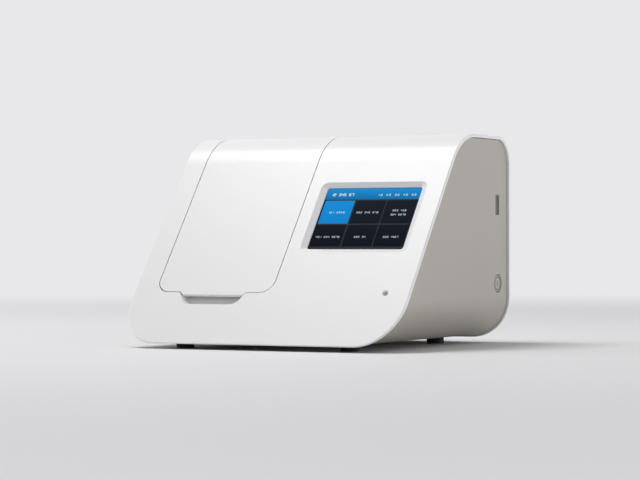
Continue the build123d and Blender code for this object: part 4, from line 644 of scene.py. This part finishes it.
dress(
    plates(
        "side_port_tongue",
        side,
        [(PORT_U, PORT_V, *TONGUE_SIZE, TONGUE_RADIUS)],
        [(0.0, TONGUE_BACK), (0.0, TONGUE_FACE - TONGUE_BEVEL), (TONGUE_BEVEL, TONGUE_FACE)],
    ),
    "housing",
    port_grey,
)
# Two dark rings: the inner one is print, the outer one is painted shadow of the gap round the button
ring_section = [(-RING_HALF, 0.0), (RING_HALF, 0.0), (RING_HALF, PRINT_HEIGHT), (-RING_HALF, PRINT_HEIGHT)]
dress(
    closed_bands(
        "button_print_and_gap_shade_rings",
        side,
        [circle_path(BUTTON_U, BUTTON_V, BUTTON_W, radius) for radius in PRINT_AND_GAP_SHADE_RADII],
        ring_section,
    ),
    "button",
    print_and_gap_shade_grey,
)
dress(
    plates(
        "button_bar",
        side,
        [(BUTTON_U, BUTTON_V, *BAR_SIZE, BAR_RADIUS)],
        [(0.0, BUTTON_W), (0.0, BUTTON_W + PRINT_HEIGHT)],
        smooth=False,
    ),
    "button",
    print_and_gap_shade_grey,
)

# Camera, floor and light

CAMERA_AZIMUTH = radians(27.259)
CAMERA_ELEVATION = radians(0.011)
CAMERA_ROLL = radians(-0.064)
CAMERA_PLACE = (759.59 * MM, -1470.06 * MM, 72.81 * MM)
CAMERA_LENS = 134.865

FLOOR_REACH = 9.0
FLOOR_BLEND = (0.55, 1.6)
BACKGROUND = (232, 232, 234)


def place_camera():
    """Camera at the photograph's place, its axes worked out from the three angles."""
    azimuth = CAMERA_AZIMUTH
    elevation = CAMERA_ELEVATION
    roll = CAMERA_ROLL
    back = np.array(
        [sin(azimuth) * cos(elevation), -cos(azimuth) * cos(elevation), sin(elevation)]
    )
    level = np.array([cos(azimuth), sin(azimuth), 0.0])
    upright = np.cross(back, level)
    right = level * cos(roll) + upright * sin(roll)
    up = upright * cos(roll) - level * sin(roll)
    data = bpy.data.cameras.new("camera")
    data.sensor_width = 36.0
    data.lens = CAMERA_LENS
    data.clip_start = 0.05
    data.clip_end = 40.0
    camera = bpy.data.objects.new("camera", data)
    axes = np.eye(4)
    axes[:3, :4] = np.column_stack([right, up, back, CAMERA_PLACE])
    camera.matrix_world = Matrix(axes.tolist())
    bpy.context.scene.collection.objects.link(camera)
    bpy.context.scene.camera = camera


def floor_disc():
    """Round floor: rings of growing radius about the object, the middle one closed."""
    rings = 40
    around = 96
    radius = FLOOR_REACH * np.linspace(0.02, 1.0, rings) ** 2
    angle = np.arange(around) / around * 2 * pi
    grid = np.stack(
        [
            radius[:, None] * np.cos(angle),
            radius[:, None] * np.sin(angle),
            np.zeros((rings, around)),
        ],
        -1,
    )
    faces = ring_faces(rings, around)[:-1]
    faces = [face[::-1] for face in faces]
    floor = mesh_piece("floor", grid.reshape(-1, 3), faces)
    material, tree, shader = new_material("floor_paper")
    place = tree.add("ShaderNodeTexCoord").outputs["Object"]
    away = tree.add("ShaderNodeVectorMath", operation="LENGTH")
    tree.tree.links.new(place, away.inputs[0])
    blend = tree.add("ShaderNodeMapRange", interpolation_type="SMOOTHSTEP")
    tree.feed(
        blend,
        Value=away.outputs["Value"],
        **{"From Min": FLOOR_BLEND[0], "From Max": FLOOR_BLEND[1]},
    )
    tree.feed(shader, Base_Color=shade(226, 226, 228), Roughness=0.7)
    far = tree.feed(tree.add("ShaderNodeEmission"), Color=shade(*BACKGROUND), Strength=1.0)
    mixed = tree.add("ShaderNodeMixShader")
    tree.tree.links.new(blend.outputs["Result"], mixed.inputs[0])
    tree.tree.links.new(shader.outputs[0], mixed.inputs[1])
    tree.tree.links.new(far.outputs[0], mixed.inputs[2])
    output = material.node_tree.nodes["Material Output"]
    tree.tree.links.new(mixed.outputs[0], output.inputs["Surface"])
    floor.data.materials.append(material)


def soft_light(name, place, aim, size, power, colour):
    """Square area light at a place, turned so that it shines at a point."""
    data = bpy.data.lights.new(name, "AREA")
    data.shape = "RECTANGLE"
    data.size, data.size_y = size
    data.energy = power
    data.color = colour
    lamp = bpy.data.objects.new(name, data)
    back = np.array(place) - np.array(aim)
    back /= np.linalg.norm(back)
    right = np.cross([0.0, 0.0, 1.0], back)
    right /= np.linalg.norm(right)
    axes = np.eye(4)
    axes[:3, :4] = np.column_stack([right, np.cross(back, right), back, place])
    lamp.matrix_world = Matrix(axes.tolist())
    bpy.context.scene.collection.objects.link(lamp)


def studio_air():
    """World: a pale field for what is seen directly or mirrored, and a weaker one for light."""
    world = bpy.data.worlds.new("studio")
    world.use_nodes = True
    bpy.context.scene.world = world
    tree = Tree(world.node_tree)
    lighting = world.node_tree.nodes["Background"]
    tree.feed(lighting, Color=(1.0, 1.0, 1.0, 1.0), Strength=AIR_STRENGTH)
    seen = tree.feed(tree.add("ShaderNodeBackground"), Color=shade(*BACKGROUND), Strength=1.0)
    ray = tree.add("ShaderNodeLightPath")
    direct = tree.math("MAXIMUM", ray.outputs["Is Camera Ray"], ray.outputs["Is Glossy Ray"])
    direct = tree.math("MAXIMUM", direct, ray.outputs["Is Transmission Ray"])
    mixed = tree.add("ShaderNodeMixShader")
    tree.tree.links.new(direct, mixed.inputs[0])
    tree.tree.links.new(lighting.outputs[0], mixed.inputs[1])
    tree.tree.links.new(seen.outputs[0], mixed.inputs[2])
    output = world.node_tree.nodes["World Output"]
    tree.tree.links.new(mixed.outputs[0], output.inputs["Surface"])


AIR_STRENGTH = 0.26
place_camera()
floor_disc()
studio_air()
# Lamps: name, place, point it shines at, size, power in watts, colour
LAMPS = [
    ("key", (-0.55, -0.06, 1.85), (0.0, 0.0, 0.1), (0.9, 0.9), 23.0, (1.0, 1.0, 1.0)),
    ("fill", (1.9, -1.0, 0.6), (0.0, 0.0, 0.07), (1.0, 1.0), 5.0, (1.0, 0.99, 0.98)),
    ("left", (-1.9, -0.3, 0.6), (-0.1, -0.03, 0.1), (0.8, 0.8), 8.0, (1.0, 1.0, 1.0)),
    ("edge", (1.1, 0.75, 0.12), (0.1, 0.08, 0.03), (0.4, 0.2), 4.0, (1.0, 0.99, 0.97)),
]
for lamp in LAMPS:
    soft_light(*lamp)

scene = bpy.context.scene
scene.view_settings.view_transform = "Standard"
